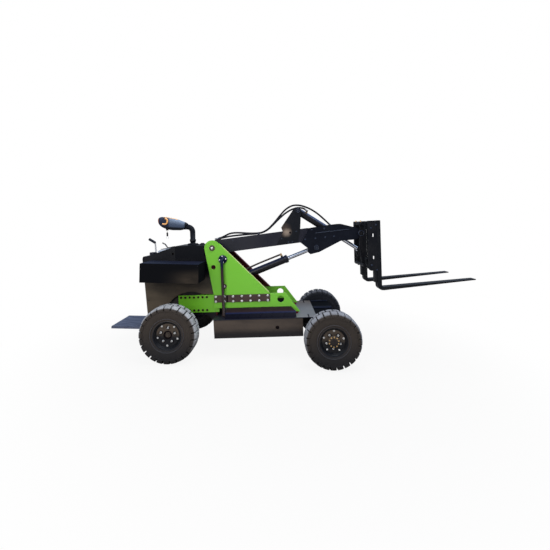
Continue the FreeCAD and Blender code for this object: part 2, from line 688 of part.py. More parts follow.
def tower_web():
    """Plate across the tower's back, the floor plate on the deck and the front foot gussets."""
    top_x, top_z = WEB_TOP
    bend = RAIL_TOP_Z + 3.0
    lean = WEB_T + 2.0
    inner = PLATE_INNER_Y
    back = plate([(WEB_FOOT_X, DECK_Z), (WEB_FOOT_X + WEB_T, DECK_Z), (WEB_FOOT_X + WEB_T, bend),
                  (top_x + lean, top_z), (top_x, top_z), (WEB_FOOT_X, bend)], -inner, inner)
    floor = box(WEB_FOOT_X + WEB_T / 2.0, TOWER_FOOT_X, -inner, inner,
                PLATE_BOTTOM_Z, PLATE_BOTTOM_Z + WEB_T)
    ribs = [box(x, x + WEB_T, -inner, inner, DECK_Z, PLATE_BOTTOM_Z) for x in FLOOR_RIBS]
    web = join([back, floor] + ribs).cut(rear_rails())
    sill_end = SILL_FRONT_X + SILL_SLANT
    gusset = [(sill_end, LUG_TIP_Z), (LUG_TIP_X - 12.0, LUG_TIP_Z), (LUG_TIP_X - 28.0, DECK_Z),
              (sill_end, DECK_Z)]
    feet = [plate(gusset, *side_span(side, PLATE_INNER_Y, PLATE_INNER_Y + PLATE_T))
            for side in SIDES.values()]
    return Part.makeCompound([web] + feet)


def tower_pins():
    """Boom pivot pin and the lift cylinder's lower pin, with their heads."""
    outer = PLATE_INNER_Y + PLATE_T
    pins = []
    for x, z, radius in ((PIVOT_X, PIVOT_Z, PIVOT_PIN_R), (LIFT_FOOT_X, LIFT_FOOT_Z, LIFT_PIN_R)):
        pins.append(cross_bar(x, z, radius, outer + 8.0))
    return Part.makeCompound(pins)


def hydraulic_pipe():
    """Rigid pipe from a flange on the right tower plate down to the deck."""
    face = -(PLATE_INNER_Y + PLATE_T)
    y = face - PIPE_STANDOFF
    x, z = PIPE_X, PIPE_TOP_Z
    flange = drum((x, face, z), (x, face - 12.0, z), PIPE_FLANGE_R)
    pipe = bent_bar([(x, face - 8.0, z), (x - 8.0, y, z - 6.0), (x, y, DECK_Z + 4.0)],
                    PIPE_R, 20.0)
    foot = drum((x, y, DECK_Z), (x, y, DECK_Z + 16.0), PIPE_R + 9.0)
    return join([flange, pipe, foot])


# ================================================================ body
def web_rear_x(z):
    """Rear face of the tower's back plate at a height."""
    top_x, top_z = WEB_TOP
    bend = RAIL_TOP_Z + 3.0
    return top_x + (WEB_FOOT_X - top_x) * (top_z - z) / (top_z - bend)


def housing_rear_x(z):
    """Rear face of the housing at a height; it leans back towards the shoulder."""
    lean = (HOUSING_SHOULDER_X - HOUSING_FOOT_X) / (HOUSING_SHOULDER_Z - HOUSING_FOOT_Z)
    return HOUSING_FOOT_X + lean * (z - HOUSING_FOOT_Z)


def housing():
    """Engine housing: folded shell, open underneath, with the wheel arch cut in its sides."""
    half, wall = HOUSING_HALF_WIDTH, HOUSING_WALL
    arch_x = ARCH_X - math.sqrt(ARCH_R ** 2 - (HOUSING_SILL_Z - ARCH_Z) ** 2)
    step_x = housing_rear_x(CONSOLE_BASE_Z)
    knee_z = WEB_TOP[1] - 10.0
    knee_x = web_rear_x(knee_z) - HOUSING_FRONT_GAP
    foot_x = web_rear_x(HOUSING_SILL_Z) - HOUSING_FRONT_GAP

    def section(inset, floor):
        return [(HOUSING_FOOT_X + inset, floor), (step_x + inset, CONSOLE_BASE_Z - inset),
                (CONSOLE_FRONT_X + inset, CONSOLE_BASE_Z - inset),
                (CONSOLE_FRONT_X + inset, HOUSING_TOP_Z - inset, 12.0 - inset),
                (HOUSING_FRONT_X - inset, HOUSING_TOP_Z - inset, 12.0 - inset),
                (HOUSING_FRONT_X - inset, HOUSING_NECK_Z - inset),
                (knee_x - inset, knee_z - inset), (foot_x - inset, HOUSING_SILL_Z - inset),
                (foot_x - inset, floor)]

    outer = plate(section(0.0, HOUSING_FOOT_Z), -half, half)
    inner = plate(section(wall, HOUSING_FOOT_Z - 1.0), wall - half, half - wall)
    notch = box(HOUSING_FOOT_X - 60.0, HOUSING_FOOT_X + 60.0, wall - half, half - wall,
                0.0, HOUSING_FOOT_Z + 50.0)
    arch = drum((ARCH_X, -half - 1.0, ARCH_Z), (ARCH_X, half + 1.0, ARCH_Z), ARCH_R)
    under = box(arch_x, foot_x + 1.0, -half - 1.0, half + 1.0, 0.0, HOUSING_SILL_Z)
    return outer.cut(inner).cut(arch).cut(under).cut(notch)


def console_slope_z(x):
    """Height of the console's sloping top."""
    edge_x, edge_z = CONSOLE_EDGE
    rise = (HOUSING_TOP_Z - 2.0 - edge_z) / (CONSOLE_FRONT_X - edge_x)
    return edge_z + rise * (x - edge_x)


def console():
    """Sloping control console on the back of the housing, with its instrument panel."""
    half = HOUSING_HALF_WIDTH
    body = plate([(housing_rear_x(CONSOLE_BASE_Z), CONSOLE_BASE_Z),
                  (HOUSING_SHOULDER_X, HOUSING_SHOULDER_Z),
                  (HOUSING_SHOULDER_X + 8.0, CONSOLE_EDGE[1] - 1.0, 16.0), CONSOLE_EDGE + (10.0,),
                  (CONSOLE_FRONT_X, HOUSING_TOP_Z - 2.0), (CONSOLE_FRONT_X, CONSOLE_BASE_Z)],
                 -half, half)
    x, z = CONSOLE_HOLE
    for side in SIDES.values():
        body = body.cut(drum((x, side * (half - 20.0), z), (x, side * (half + 1.0), z),
                             CONSOLE_HOLE_R))
    rear, front = PANEL_REAR_X, PANEL_FRONT_X
    panel = plate([(rear, console_slope_z(rear) - 4.0),
                   (rear - 4.0, console_slope_z(rear) + PANEL_RISE - 6.0, 3.0),
                   (rear + 6.0, console_slope_z(rear) + PANEL_RISE, 3.0),
                   (front, console_slope_z(front) + 6.0), (front, console_slope_z(front) - 4.0)],
                  -PANEL_HALF_WIDTH, PANEL_HALF_WIDTH)
    return join([body, panel])


def side_boxes():
    """Closed boxes on both flanks of the housing, over the rear wheels."""
    half_length, half_height = SIDE_BOX_LENGTH / 2.0, SIDE_BOX_HEIGHT / 2.0
    solids = []
    for side in SIDES.values():
        y0, y1 = side_span(side, HOUSING_HALF_WIDTH, SIDE_BOX_OUTER_Y)
        body = box(-half_length, half_length, y0, y1, -half_height, half_height)
        solids.append(moved(tipped(body, -SIDE_BOX_TILT), SIDE_BOX_X, 0.0, SIDE_BOX_Z))
    return Part.makeCompound(solids)


def engine_block():
    """Engine and pump as one plain mass on the beams."""
    return box(-270.0, 230.0, -150.0, 150.0, REAR_BEAM_TOP, 930.0)


def platform():
    """Operator's foot plate with folded edges, on two arms under the housing."""
    length = HOUSING_FOOT_X - 8.0 - PLATFORM_REAR_X
    half = PLATFORM_HALF_WIDTH
    top = box(0.0, length, -half, half, -PLATFORM_T, 0.0)
    lips = [box(0.0, length, *side_span(side, half - PLATFORM_T, half), -26.0, 0.0)
            for side in SIDES.values()]
    rear_lip = box(0.0, PLATFORM_T, -half, half, -26.0, 0.0)
    tread = tipped(join([top, rear_lip] + lips), -PLATFORM_TILT)
    tread = moved(tread, PLATFORM_REAR_X, 0.0, PLATFORM_REAR_Z)
    arms = []
    for side in SIDES.values():
        y0, y1 = side_span(side, 140.0, 160.0)
        arms.append(plate([(-620.0, 262.0), (-340.0, 236.0, 60.0), (-230.0, 250.0, 30.0),
                           (-230.0, 371.0), (-310.0, 371.0), (-322.0, 276.0, 30.0),
                           (-620.0, 276.0)], y0, y1))
    return join([tread] + arms)


def control_post():
    """Bent post on the housing, with its foot flange and collar."""
    base = HOUSING_TOP_Z
    pipe = bent_bar([(POST_X, 0, base), (POST_X, 0, POST_TOP_Z), (0.0, 0, POST_TOP_Z)],
                    POST_R, POST_BEND_R)
    flange = drum((POST_X, 0, base), (POST_X, 0, base + 10.0), 62.0)
    collar = drum((POST_X, 0, base + 40.0), (POST_X, 0, base + 64.0), POST_R + 6.0)
    return join([pipe, flange, collar])


def oval(x, low, high, half):
    """Closed smooth outline across the machine, nearly square with well rounded corners."""
    points, count = [], 16
    for k in range(count):
        turn = 2.0 * math.pi * (k + 0.5) / count
        c, s = math.cos(turn), math.sin(turn)
        points.append(Vector(x, half * math.copysign(abs(c) ** 0.7, c),
                             (low + high) / 2.0
                             + (high - low) / 2.0 * math.copysign(abs(s) ** 0.7, s)))
    curve = Part.BSplineCurve()
    curve.interpolate(points, PeriodicFlag=True)
    return Part.Wire(curve.toShape())


def control_pod():
    """Rounded control head on the end of the post, with a stop ring on each cheek."""
    stations = ((-272.0, 1452.0, 1500.0, 50.0), (-262.0, 1424.0, 1515.0, 64.0),
                (-236.0, 1398.0, 1521.0, 75.0), (-180.0, 1372.0, 1516.0, 80.0),
                (-110.0, 1358.0, 1502.0, 77.0), (-40.0, 1355.0, 1481.0, 68.0),
                (10.0, 1362.0, 1460.0, 57.0), (44.0, 1384.0, 1446.0, 46.0),
                (66.0, 1408.0, 1428.0, 32.0))
    body = Part.makeLoft([oval(*station) for station in stations], True, False)
    x, z = POD_RING
    rings = [drum((x, side * POD_RING_IN, z), (x, side * POD_RING_OUT, z), POD_RING_R)
             for side in SIDES.values()]
    pipe_end = drum((-20.0, 0, POST_TOP_Z), (90.0, 0, POST_TOP_Z), POST_R)
    return join([body] + rings).cut(pipe_end)


def control_levers():
    """Valve block on the console, its hand lever and the smaller lever by the panel."""
    block = box(-390.0, -339.0, -30.0, 40.0, 1050.0, 1096.0)
    bracket = box(-339.0, -310.0, -20.0, 10.0, 1060.0, 1090.0)
    foot, elbow, tip = [(x, -10.0, z) for x, z in LEVER]
    lever = bent_bar([foot, elbow, tip], 7.0, 8.0)
    grip = drum(elbow, (tip[0] - 4.0, tip[1], tip[2] + 2.0), 13.0)
    knee = [(x, -80.0, z) for x, z in SMALL_LEVER]
    small = bent_bar(knee, 5.0, 20.0)
    main = join([block, bracket, lever, grip]).cut(console())
    return Part.makeCompound([main, small.cut(console())])


# ================================================================ boom
def boom_beam():
    """Box beam with a rounded tail and the pivot tube."""
    half = BOOM_DEPTH / 2.0
    width = BOOM_WIDTH / 2.0
    beam = join([box(0.0, BOOM_BOX_END, -width, width, -half, half),
                 cross_bar(0, 0, half, width), cross_bar(0, 0, BOOM_HUB_R, BOOM_HUB_HALF)])
    end_cut = plate([(BOOM_BOX_END, half + 1.0), (BOOM_BOX_END + 1.0, half + 1.0),
                     (BOOM_BOX_END + 1.0, -half - 1.0), (BOOM_BOX_END - 70.0, -half - 1.0)],
                    -width - 1.0, width + 1.0)
    return beam.cut(end_cut).cut(cross_bar(0, 0, PIVOT_PIN_R + RUNNING, BOOM_HUB_HALF + 1.0))


def nose_plates():
    """Side plates of the boom's nose, the pivot tube and the lift pin's short stubs."""
    inner = BOOM_WIDTH / 2.0
    outer = inner + NOSE_PLATE_T
    px, pz = CARRIER_PIVOT
    profile = [(1019.0, -78.0, 10.0), (1138.0, 74.0, 10.0), (1329.0, 83.0, 30.0),
               (1511.0, 81.0, 30.0), (1663.0, 22.0, 40.0), (px + 44.0, pz + 30.0, 34.0),
               (px + 44.0, pz - 44.0, 40.0), (1644.0, -128.0, 30.0), (1496.0, -120.0, 40.0),
               (1222.0, -221.0, 40.0), (1112.0, -234.0, 30.0), (1050.0, -160.0, 20.0)]
    pieces = []
    for side in SIDES.values():
        pieces.append(plate(profile, *side_span(side, inner, outer)))
        stub_end = side * (EYE_HALF_WIDTH + 6.0)
        pieces.append(drum((LIFT_HEAD[0], side * (outer + 8.0), LIFT_HEAD[1]),
                           (LIFT_HEAD[0], stub_end, LIFT_HEAD[1]), LIFT_PIN_R))
    pieces.append(moved(cross_bar(0, 0, 40.0, outer + 6.0), px, 0.0, pz))
    nose = join(pieces)
    return nose.cut(moved(cross_bar(0, 0, CARRIER_PIN_R + RUNNING, outer + 8.0), px, 0.0, pz))


def dorsal_plates():
    """Raised bracket that holds the tilt cylinder's rear pin."""
    inner = BOOM_WIDTH / 2.0
    outer = inner + NOSE_PLATE_T
    x, z = TILT_REAR
    profile = [(745.0, -60.0, 10.0), (814.0, 129.0, 30.0), (x - 36.0, z + 38.0, 26.0),
               (x + 40.0, z + 20.0, 30.0), (x, 88.0, 20.0), (981.0, -77.0, 10.0)]
    pieces = [plate(profile, *side_span(side, inner, outer)) for side in SIDES.values()]
    pieces.append(moved(cross_bar(0, 0, TILT_PIN_R, outer + 6.0), x, 0.0, z))
    return join(pieces)


# ================================================================ cylinders
def barrel(radius, length, pin_radius):
    """Cylinder barrel along +X with its base eye at the origin and a gland at its mouth."""
    eye_r = pin_radius + EYE_WALL
    eye = cross_bar(0, 0, eye_r, EYE_HALF_WIDTH)
    tube = drum((eye_r - 6.0, 0, 0), (length, 0, 0), radius)
    gland = drum((length - 34.0, 0, 0), (length, 0, 0), radius + 5.0)
    pin = cross_bar(0, 0, pin_radius + RUNNING, EYE_HALF_WIDTH + 1.0)
    return join([eye, tube, gland]).cut(pin)


def lift_line(radius):
    """Hard line along the top of the lift barrel between its two port blocks."""
    route = [(PORT_REAR, 0, radius + 6.0), (PORT_REAR + 6.0, 0, LINE_RISE - 14.0),
             (PORT_REAR + 70.0, 0, LINE_RISE - 10.0), (PORT_FRONT - 290.0, 0, LINE_RISE),
             (PORT_FRONT, 0, LINE_RISE), (PORT_FRONT, 0, radius + 6.0)]
    ports = [drum((x, 0, 0.8 * radius), (x, 0, radius + 16.0), 14.0)
             for x in (PORT_REAR, PORT_FRONT)]
    return join([bent_bar(route, LINE_R, 14.0)] + ports)


def rod(start, end, radius, pin_radius):
    """Chromed rod with its eye at the far end, both measured from the base pin."""
    eye_r = pin_radius + EYE_WALL
    shaft = drum((start, 0, 0), (end - pin_radius - 4.0, 0, 0), radius)
    eye = cross_bar(end, 0, eye_r, EYE_HALF_WIDTH)
    hole = cross_bar(end, 0, pin_radius + 2.0, EYE_HALF_WIDTH + 1.0)
    return join([shaft, eye]).cut(hole)


def lift_pins():
    """Chassis-frame places of the lift cylinder's two pins."""
    return (LIFT_FOOT_X, LIFT_FOOT_Z), boom_point(*LIFT_HEAD)


def tilt_pins():
    """Chassis-frame places of the tilt cylinder's two pins."""
    pivot = boom_point(*CARRIER_PIVOT)
    return boom_point(*TILT_REAR), (pivot[0] - 8.0, pivot[1] - TILT_FRONT_DROP)


def cylinder(pins, barrel_r, barrel_length, rod_r, rod_inside, stroke_in, pin_r):
    """Barrel and rod of one cylinder, laid between its pins."""
    span = math.hypot(pins[1][0] - pins[0][0], pins[1][1] - pins[0][1])
    rod_start = barrel_length - rod_inside
    guide = drum((rod_start - stroke_in, 0, 0), (barrel_length + 1.0, 0, 0), rod_r + RUNNING)
    body = barrel(barrel_r, barrel_length, pin_r).cut(guide)
    return between(body, *pins), between(rod(rod_start, span, rod_r, pin_r), *pins)


# ================================================================ carriage and forks
def carrier_front():
    """Front face of the tool carrier, ahead of its pivot."""
    return CARRIER_DEPTH - CARRIER_REAR


def tool_carrier():
    """Tool carrier on the boom's nose: ears, hook bar, lock bar and the tilt rod's lugs."""
    front = carrier_front()
    ear = [(-CARRIER_REAR, CARRIER_TOP, 10.0), (front, CARRIER_TOP, 10.0),
           (front, -CARRIER_BOTTOM, 10.0), (-CARRIER_REAR + 20.0, -CARRIER_BOTTOM, 10.0),
           (-CARRIER_REAR - 12.0, -150.0, 30.0)]
    pieces = []
    for side in SIDES.values():
        pieces.append(plate(ear, *side_span(side, CARRIER_EAR_Y, CARRIER_EAR_Y + CARRIER_EAR_T)))
        pieces.append(plate([(-34.0, -TILT_FRONT_DROP + 24.0, 20.0), (front, -150.0),
                             (front, -300.0), (0.0, -300.0), (-34.0, -TILT_FRONT_DROP - 20.0, 16.0)],
                            *side_span(side, EYE_HALF_WIDTH + 12.0, EYE_HALF_WIDTH + 26.0)))
        pieces.append(drum((-8.0, side * (EYE_HALF_WIDTH + 27.0), -TILT_FRONT_DROP),
                           (-8.0, side * (EYE_HALF_WIDTH + 5.0), -TILT_FRONT_DROP), TILT_PIN_R))
    pieces.append(box(front - 12.0, front, -CARRIER_EAR_Y, CARRIER_EAR_Y, -340.0, -250.0))
    pieces.append(cross_bar(0, 0, CARRIER_PIN_R, CARRIER_EAR_Y + CARRIER_EAR_T + 6.0))
    pieces.append(moved(cross_bar(0, 0, 22.0, CARRIER_HALF_WIDTH), 8.0, 0.0, CARRIER_TOP - 24.0))
    pieces.append(moved(cross_bar(0, 0, 18.0, CARRIER_HALF_WIDTH), 12.0, 0.0, -370.0))
    return join(pieces)


def slot_cutter(x, z):
    """Upright round-ended slot right across the frame."""
    reach, radius = FRAME_HALF_WIDTH + 1.0, FRAME_SLOT_WIDTH / 2.0
    half = FRAME_SLOT_HEIGHT / 2.0 - radius
    return join([box(x - radius, x + radius, -reach, reach, z - half, z + half),
                 moved(cross_bar(0, 0, radius, reach), x, 0.0, z - half),
                 moved(cross_bar(0, 0, radius, reach), x, 0.0, z + half)])


def fork_frame():
    """Fork frame hung on the carrier: two cross bars and two slotted side plates."""
    rear = carrier_front() + FRAME_GAP
    front = rear + FRAME_DEPTH
    top, bottom = CARRIER_TOP + 6.0, -CARRIER_BOTTOM - 12.0
    half = FRAME_HALF_WIDTH
    upper = box(front - 34.0, front, -half, half, top - 90.0, top - 6.0)
    lower = box(front - 34.0, front, -half, half, bottom + 20.0, bottom + 100.0)
    side_profile = [(rear - 34.0, top, 8.0), (front, top, 8.0), (front, bottom, 8.0),
                    (rear - 34.0, bottom, 30.0)]
    hook_profile = [(rear, top, 8.0), (front - 20.0, top, 8.0), (front - 20.0, bottom, 8.0),
                    (rear, bottom, 8.0)]
    pieces = [upper, lower]
    for side in SIDES.values():
        pieces.append(plate(side_profile, *side_span(side, half - FRAME_PLATE_T, half)))
        pieces.append(plate(hook_profile, *side_span(side, CARRIER_HALF_WIDTH - 20.0,
                                                    CARRIER_HALF_WIDTH - 6.0)))
    return join(pieces).cut([slot_cutter(FRAME_SLOT_X, z) for z in FRAME_SLOTS])


def fork(side):
    """One pallet fork: upright shank, round heel and tapering blade."""
    rear = carrier_front() + FRAME_GAP + FRAME_DEPTH
    front = rear + FORK_SHANK_T
    heel = -FORK_HEEL_DROP
    rise = math.radians(FORK_RISE)
    tip_x = front + FORK_LENGTH * math.cos(rise)
    tip_z = heel + FORK_HEEL_T + FORK_LENGTH * math.sin(rise)
    y0, y1 = side_span(side, FORK_Y - FORK_WIDTH / 2.0, FORK_Y + FORK_WIDTH / 2.0)
    blank = plate([(rear, CARRIER_TOP + 8.0, 8.0), (front, CARRIER_TOP + 8.0, 8.0),
                   (front, heel + FORK_HEEL_T, 14.0), (tip_x, tip_z),
                   (tip_x, tip_z - FORK_TIP_T), (front + 20.0, heel, 60.0),
                   (rear, heel + 6.0, 52.0)], y0, y1)
    return blank


def on_carriage(shape):
    """From the carrier's own frame, with its pivot at the origin, to the ground frame."""
    pivot = boom_point(*CARRIER_PIVOT)
    return on_chassis(moved(shape, pivot[0], 0.0, pivot[1]))


# ================================================================ hoses
def hose(points, radius):
    """Hose along a hand-laid route, every bend as large as its two runs allow."""
    route = [Vector(*p) for p in points]
    edges, last = [], route[0]
    for i in range(1, len(route) - 1):
        before, after = route[i - 1] - route[i], route[i + 1] - route[i]
        shorter = min(before.Length, after.Length)
        half = before.getAngle(after) / 2.0
        bend = 0.45 * shorter * math.tan(half)
        before.normalize()
        after.normalize()
        reach = 0.45 * shorter
        middle = (before + after).normalize() * (bend / math.sin(half) - bend)
        start, end = route[i] + before * reach, route[i] + after * reach
        edges.append(Part.LineSegment(last, start).toShape())
        edges.append(Part.Arc(start, route[i] + middle, end).toShape())
        last = end
    edges.append(Part.LineSegment(last, route[-1]).toShape())
    profile = Part.Wire(Part.makeCircle(radius, route[0], route[1] - route[0]))
    return Part.Wire(edges).makePipeShell([profile], True, True)


def boom_hoses():
    """Two hoses along the boom's top and over the raised bracket, in the boom's frame."""
    outer = [(20.0, 24.0, 90.0), (100.0, 24.0, 106.0), (190.0, 24.0, 141.0),
             (290.0, 24.0, 134.0), (400.0, 24.0, 112.0), (500.0, 24.0, 98.0),
             (575.0, 24.0, 96.0), (650.0, 24.0, 124.0), (730.0, 24.0, 186.0),
             (810.0, 24.0, 264.0), (890.0, 24.0, 336.0), (980.0, 24.0, 377.0),
             (1075.0, 26.0, 368.0), (1170.0, 34.0, 323.0), (1255.0, 44.0, 262.0),
             (1330.0, 50.0, 182.0), (1392.0, 50.0, 106.0)]
    inner = [(20.0, -24.0, 90.0), (105.0, -24.0, 97.0), (190.0, -24.0, 105.0),
             (290.0, -24.0, 103.0), (400.0, -24.0, 99.0), (500.0, -24.0, 93.0),
             (580.0, -24.0, 95.0), (655.0, -26.0, 122.0), (735.0, -32.0, 181.0),
             (815.0, -40.0, 244.0), (890.0, -46.0, 293.0), (965.0, -48.0, 325.0),
             (1040.0, -48.0, 337.0), (1105.0, -48.0, 322.0), (1146.0, -48.0, 284.0)]
    return Part.makeCompound([hose(outer, HOSE_R), hose(inner, HOSE_R)])


# ================================================================ assembly
def build():
    """All pieces in the ground frame, X measured from the rear axle."""
    parts = dict(wheels())
    parts["front_axle"] = front_axle()
    parts["rear_axle"] = rear_axle()
    parts["tie_rod"] = tie_rod()
    for name, side in SIDES.items():
        parts["knuckle_" + name] = knuckle(side)
        parts["side_plate_" + name] = on_chassis(side_plate(side))
        parts["fork_" + name] = on_carriage(fork(side))
    chassis_parts = {
        "main_frame": main_frame(), "deck_plate": deck_plate(), "side_tanks": side_tanks(),
        "front_crossbeam": front_crossbeam(), "sills": sills(), "rear_rails": rear_rails(),
        "splice_bars": splice_bars(), "tower_web": tower_web(), "tower_pins": tower_pins(),
        "hydraulic_pipe": hydraulic_pipe(), "housing": housing(), "console": console(),
        "side_boxes": side_boxes(), "engine_block": engine_block(), "platform": platform(),
        "control_post": control_post(), "control_pod": control_pod(),
        "control_levers": control_levers()}
    for name, shape in chassis_parts.items():
        parts[name] = on_chassis(shape)
    for name, shape in (("boom_beam", boom_beam()), ("nose_plates", nose_plates()),
                        ("dorsal_plates", dorsal_plates()), ("boom_hoses", boom_hoses())):
        parts[name] = on_chassis(on_boom(shape))
    lift = cylinder(lift_pins(), LIFT_BARREL_R, LIFT_BARREL_LENGTH, LIFT_ROD_R,
                    LIFT_ROD_INSIDE, LIFT_STROKE_IN, LIFT_PIN_R)
    tilt = cylinder(tilt_pins(), TILT_BARREL_R, TILT_BARREL_LENGTH, TILT_ROD_R,
                    TILT_ROD_INSIDE, TILT_STROKE_IN, TILT_PIN_R)
    line = between(lift_line(LIFT_BARREL_R), *lift_pins())
    lift = (join([lift[0], line.cut(lift[1])]), lift[1])
    for name, pair in (("lift", lift), ("tilt", tilt)):
        parts[name + "_barrel"] = on_chassis(pair[0])
        parts[name + "_rod"] = on_chassis(pair[1])
    parts["tool_carrier"] = on_carriage(tool_carrier())
    parts["fork_frame"] = on_carriage(fork_frame())
    return parts


def middle_x(parts):
    """Ground-frame X midway between the platform's rear edge and the fork tips."""
    low = parts["platform"].BoundBox.XMin
    high = max(parts["fork_right"].BoundBox.XMax, parts["fork_left"].BoundBox.XMax)
    return (low + high) / 2.0


def main():
    """Build every piece, centre the machine on the origin and write one STEP per piece."""
    os.makedirs("parts", exist_ok=True)
    parts = build()
    shift = -middle_x(parts)
    for name, shape in sorted(parts.items()):
        moved(shape, shift).exportStep("parts/%s.step" % name)
    print("%d pieces, X shift %.3f" % (len(parts), shift))


main()
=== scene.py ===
"""Looks of a compact stand-on boom loader with pallet forks.

Metres, +Z up, +X forwards, +Y to the machine's left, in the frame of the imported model.
Each section dresses one piece or one group of like pieces, in the order of assembly.
"""
import bmesh
import bpy
import collections
import json
import math
from mathutils import Matrix, Vector


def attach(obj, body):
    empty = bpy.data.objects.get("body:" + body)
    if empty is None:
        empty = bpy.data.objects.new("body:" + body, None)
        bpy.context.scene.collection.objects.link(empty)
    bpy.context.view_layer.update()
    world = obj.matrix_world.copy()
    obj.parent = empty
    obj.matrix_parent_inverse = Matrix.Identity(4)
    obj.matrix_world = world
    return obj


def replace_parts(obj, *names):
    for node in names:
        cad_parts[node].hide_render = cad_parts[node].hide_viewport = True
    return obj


ops = bmesh.ops
scene = bpy.context.scene
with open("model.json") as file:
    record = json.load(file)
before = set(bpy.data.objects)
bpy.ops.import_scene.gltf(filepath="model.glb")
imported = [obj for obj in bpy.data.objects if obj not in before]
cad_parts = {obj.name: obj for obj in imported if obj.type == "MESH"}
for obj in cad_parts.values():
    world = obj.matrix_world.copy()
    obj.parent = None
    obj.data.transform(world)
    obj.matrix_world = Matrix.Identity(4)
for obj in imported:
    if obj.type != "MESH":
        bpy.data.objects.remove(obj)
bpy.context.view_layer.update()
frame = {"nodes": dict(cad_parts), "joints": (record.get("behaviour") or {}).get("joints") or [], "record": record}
nodes = frame["nodes"]
joints = {joint["name"]: joint for joint in frame["joints"]}
mounts = {mount["name"]: mount for mount in frame["record"]["mounts"]}


def joint_at(name):
    """Where a joint sits."""
    return Vector(joints[name]["pos_m"])


# -------- camera, floor and light
# A pale studio: one large floor, an even pale surround, a broad lamp overhead and a softer
# one on each side, so that each colour shows about as it is written.
rear_hub = joint_at("spin_rear_right")
EYE = Vector((rear_hub.x + 1.065, -3.6, 1.438))
EYE_ROLL = 2.13     # degrees
LENS, SHIFT = 19.5, (-0.003, -0.088)
FLOOR_HALF, FLOOR_DROP = 60, 0.001
PEEL_DEPTH = 0.00008
FLOOR_FADE = (1.2, 3.2)     # from here to there the floor fades into the surround


def turned(degrees, axis):
    """A turn about one axis."""
    return Matrix.Rotation(math.radians(degrees), 4, axis)


def placed(name, data):
    """Data as an object in the scene."""
    made = bpy.data.objects.new(name, data)
    scene.collection.objects.link(made)
    return made


class Link:
    """A node's output.  Sums and products of links, or of links and numbers, add Math nodes."""

    def __init__(self, tree, socket):
        self.tree, self.socket = tree, socket

    def node(self, kind, settings=None, values=None, output=0):
        """A node of this kind, with its settings and its sockets' values or links."""
        made = self.tree.nodes.new("ShaderNode" + kind)
        for name, value in (settings or {}).items():
            setattr(made, name, value)
        for name, value in (values or {}).items():
            if isinstance(value, Link):
                self.tree.links.new(value.socket, made.inputs[name])
            else:
                made.inputs[name].default_value = value
        return Link(self.tree, made.outputs[output]) if made.outputs else None

    def maths(self, operation, first, second=0):
        return self.node("Math", {"operation": operation}, {0: first, 1: second})

    def __add__(self, other):
        return self.maths("ADD", self, other)

    def __sub__(self, other):
        return self.maths("SUBTRACT", self, other)

    def __rsub__(self, other):
        return self.maths("SUBTRACT", other, self)

    def __mul__(self, other):
        return self.maths("MULTIPLY", self, other)

    def __pow__(self, other):
        return self.maths("POWER", self, other)

    __radd__, __rmul__ = __add__, __mul__

    def over(self, low, high):
        """0 below low, 1 above high, smooth between."""
        return self.node("MapRange", {"interpolation_type": "SMOOTHSTEP"},
                         {"Value": self, "From Min": low, "From Max": high})

    def under(self, low, high):
        """1 below low, 0 above high, smooth between."""
        return 1 - self.over(low, high)

    def mixed(self, first, second):
        """First colour where this is 0, second where it is 1, in thousandths of linear light."""
        colours = {6: first, 7: second}
        for place, value in colours.items():
            if not isinstance(value, Link):
                colours[place] = (*(part / 1000 for part in value), 1)
        return self.node("Mix", {"data_type": "RGBA"}, {0: self, **colours}, output=2)

    def noise(self, scale, detail=3, stretch=(1, 1, 1)):
        """Cloudy noise about 0.5, finer with a larger scale."""
        place = self.node("Mapping", {}, {"Vector": self, "Scale": stretch})
        return place.node("TexNoise", {}, {"Vector": place, "Scale": scale, "Detail": detail})

    def axis(self, number):
        """One coordinate of these."""
        return self.node("SeparateXYZ", {}, {0: self}, output=number)

    x = property(lambda self: self.axis(0))
    y = property(lambda self: self.axis(1))
    z = property(lambda self: self.axis(2))

    @property
    def facing(self):
        """How squarely the surface faces each way, from -1 to 1."""
        return self.node("NewGeometry", {}, {}, output=1)

    def __abs__(self):
        return self.maths("ABSOLUTE", self)

    def beside(self, centre):
        """These coordinates, measured from a centre."""
        return self.node("VectorMath", {"operation": "SUBTRACT"}, {0: self, 1: tuple(centre)})

    def radius(self):
        """Distance from the Y axis."""
        return (self.x ** 2 + self.z ** 2) ** 0.5

    def peel(self, scale=260):
        """Faint orange peel of sprayed paint, as a normal."""
        return self.noise(scale, 1).bumped(PEEL_DEPTH, 0.5)

    def bumped(self, distance, strength=1):
        """A normal, where 1 stands for a height of distance metres."""
        return self.node("Bump", {}, {"Strength": strength, "Distance": distance, "Height": self})


def source(tree, kind, output):
    """A node without links, by its output."""
    return Link(tree, tree.nodes.new("ShaderNode" + kind).outputs[output])


floor_mesh = bmesh.new()
ops.create_grid(
    floor_mesh, x_segments=1, y_segments=1, size=FLOOR_HALF,
    matrix=Matrix.Translation((0, 0, -FLOOR_DROP)))
floor = placed("floor", bpy.data.meshes.new("floor"))
floor_mesh.to_mesh(floor.data)
floor_mesh.free()

floor_paint = bpy.data.materials.new("floor_paint")
floor_paint.use_nodes = True
floor_tree = floor_paint.node_tree
floor_tree.nodes.clear()
seen = source(floor_tree, "LightPath", "Is Camera Ray")
spot = source(floor_tree, "TexCoord", "Object")
away = spot.node("VectorMath", {"operation": "LENGTH"}, {0: spot}, output=1)
matt = seen.node("BsdfDiffuse", {}, {"Color": (0.5, 0.45, 0.4, 1)})
glow = seen.node("Emission", {}, {"Color": (1, 1, 1, 1), "Strength": 1})
white_share = seen * (away.over(*FLOOR_FADE) * 0.1 + 0.9)
pale = seen.node("MixShader", {}, {0: white_share, 1: matt, 2: glow})
pale.node("OutputMaterial", {}, {"Surface": pale})
floor.data.materials.append(floor_paint)

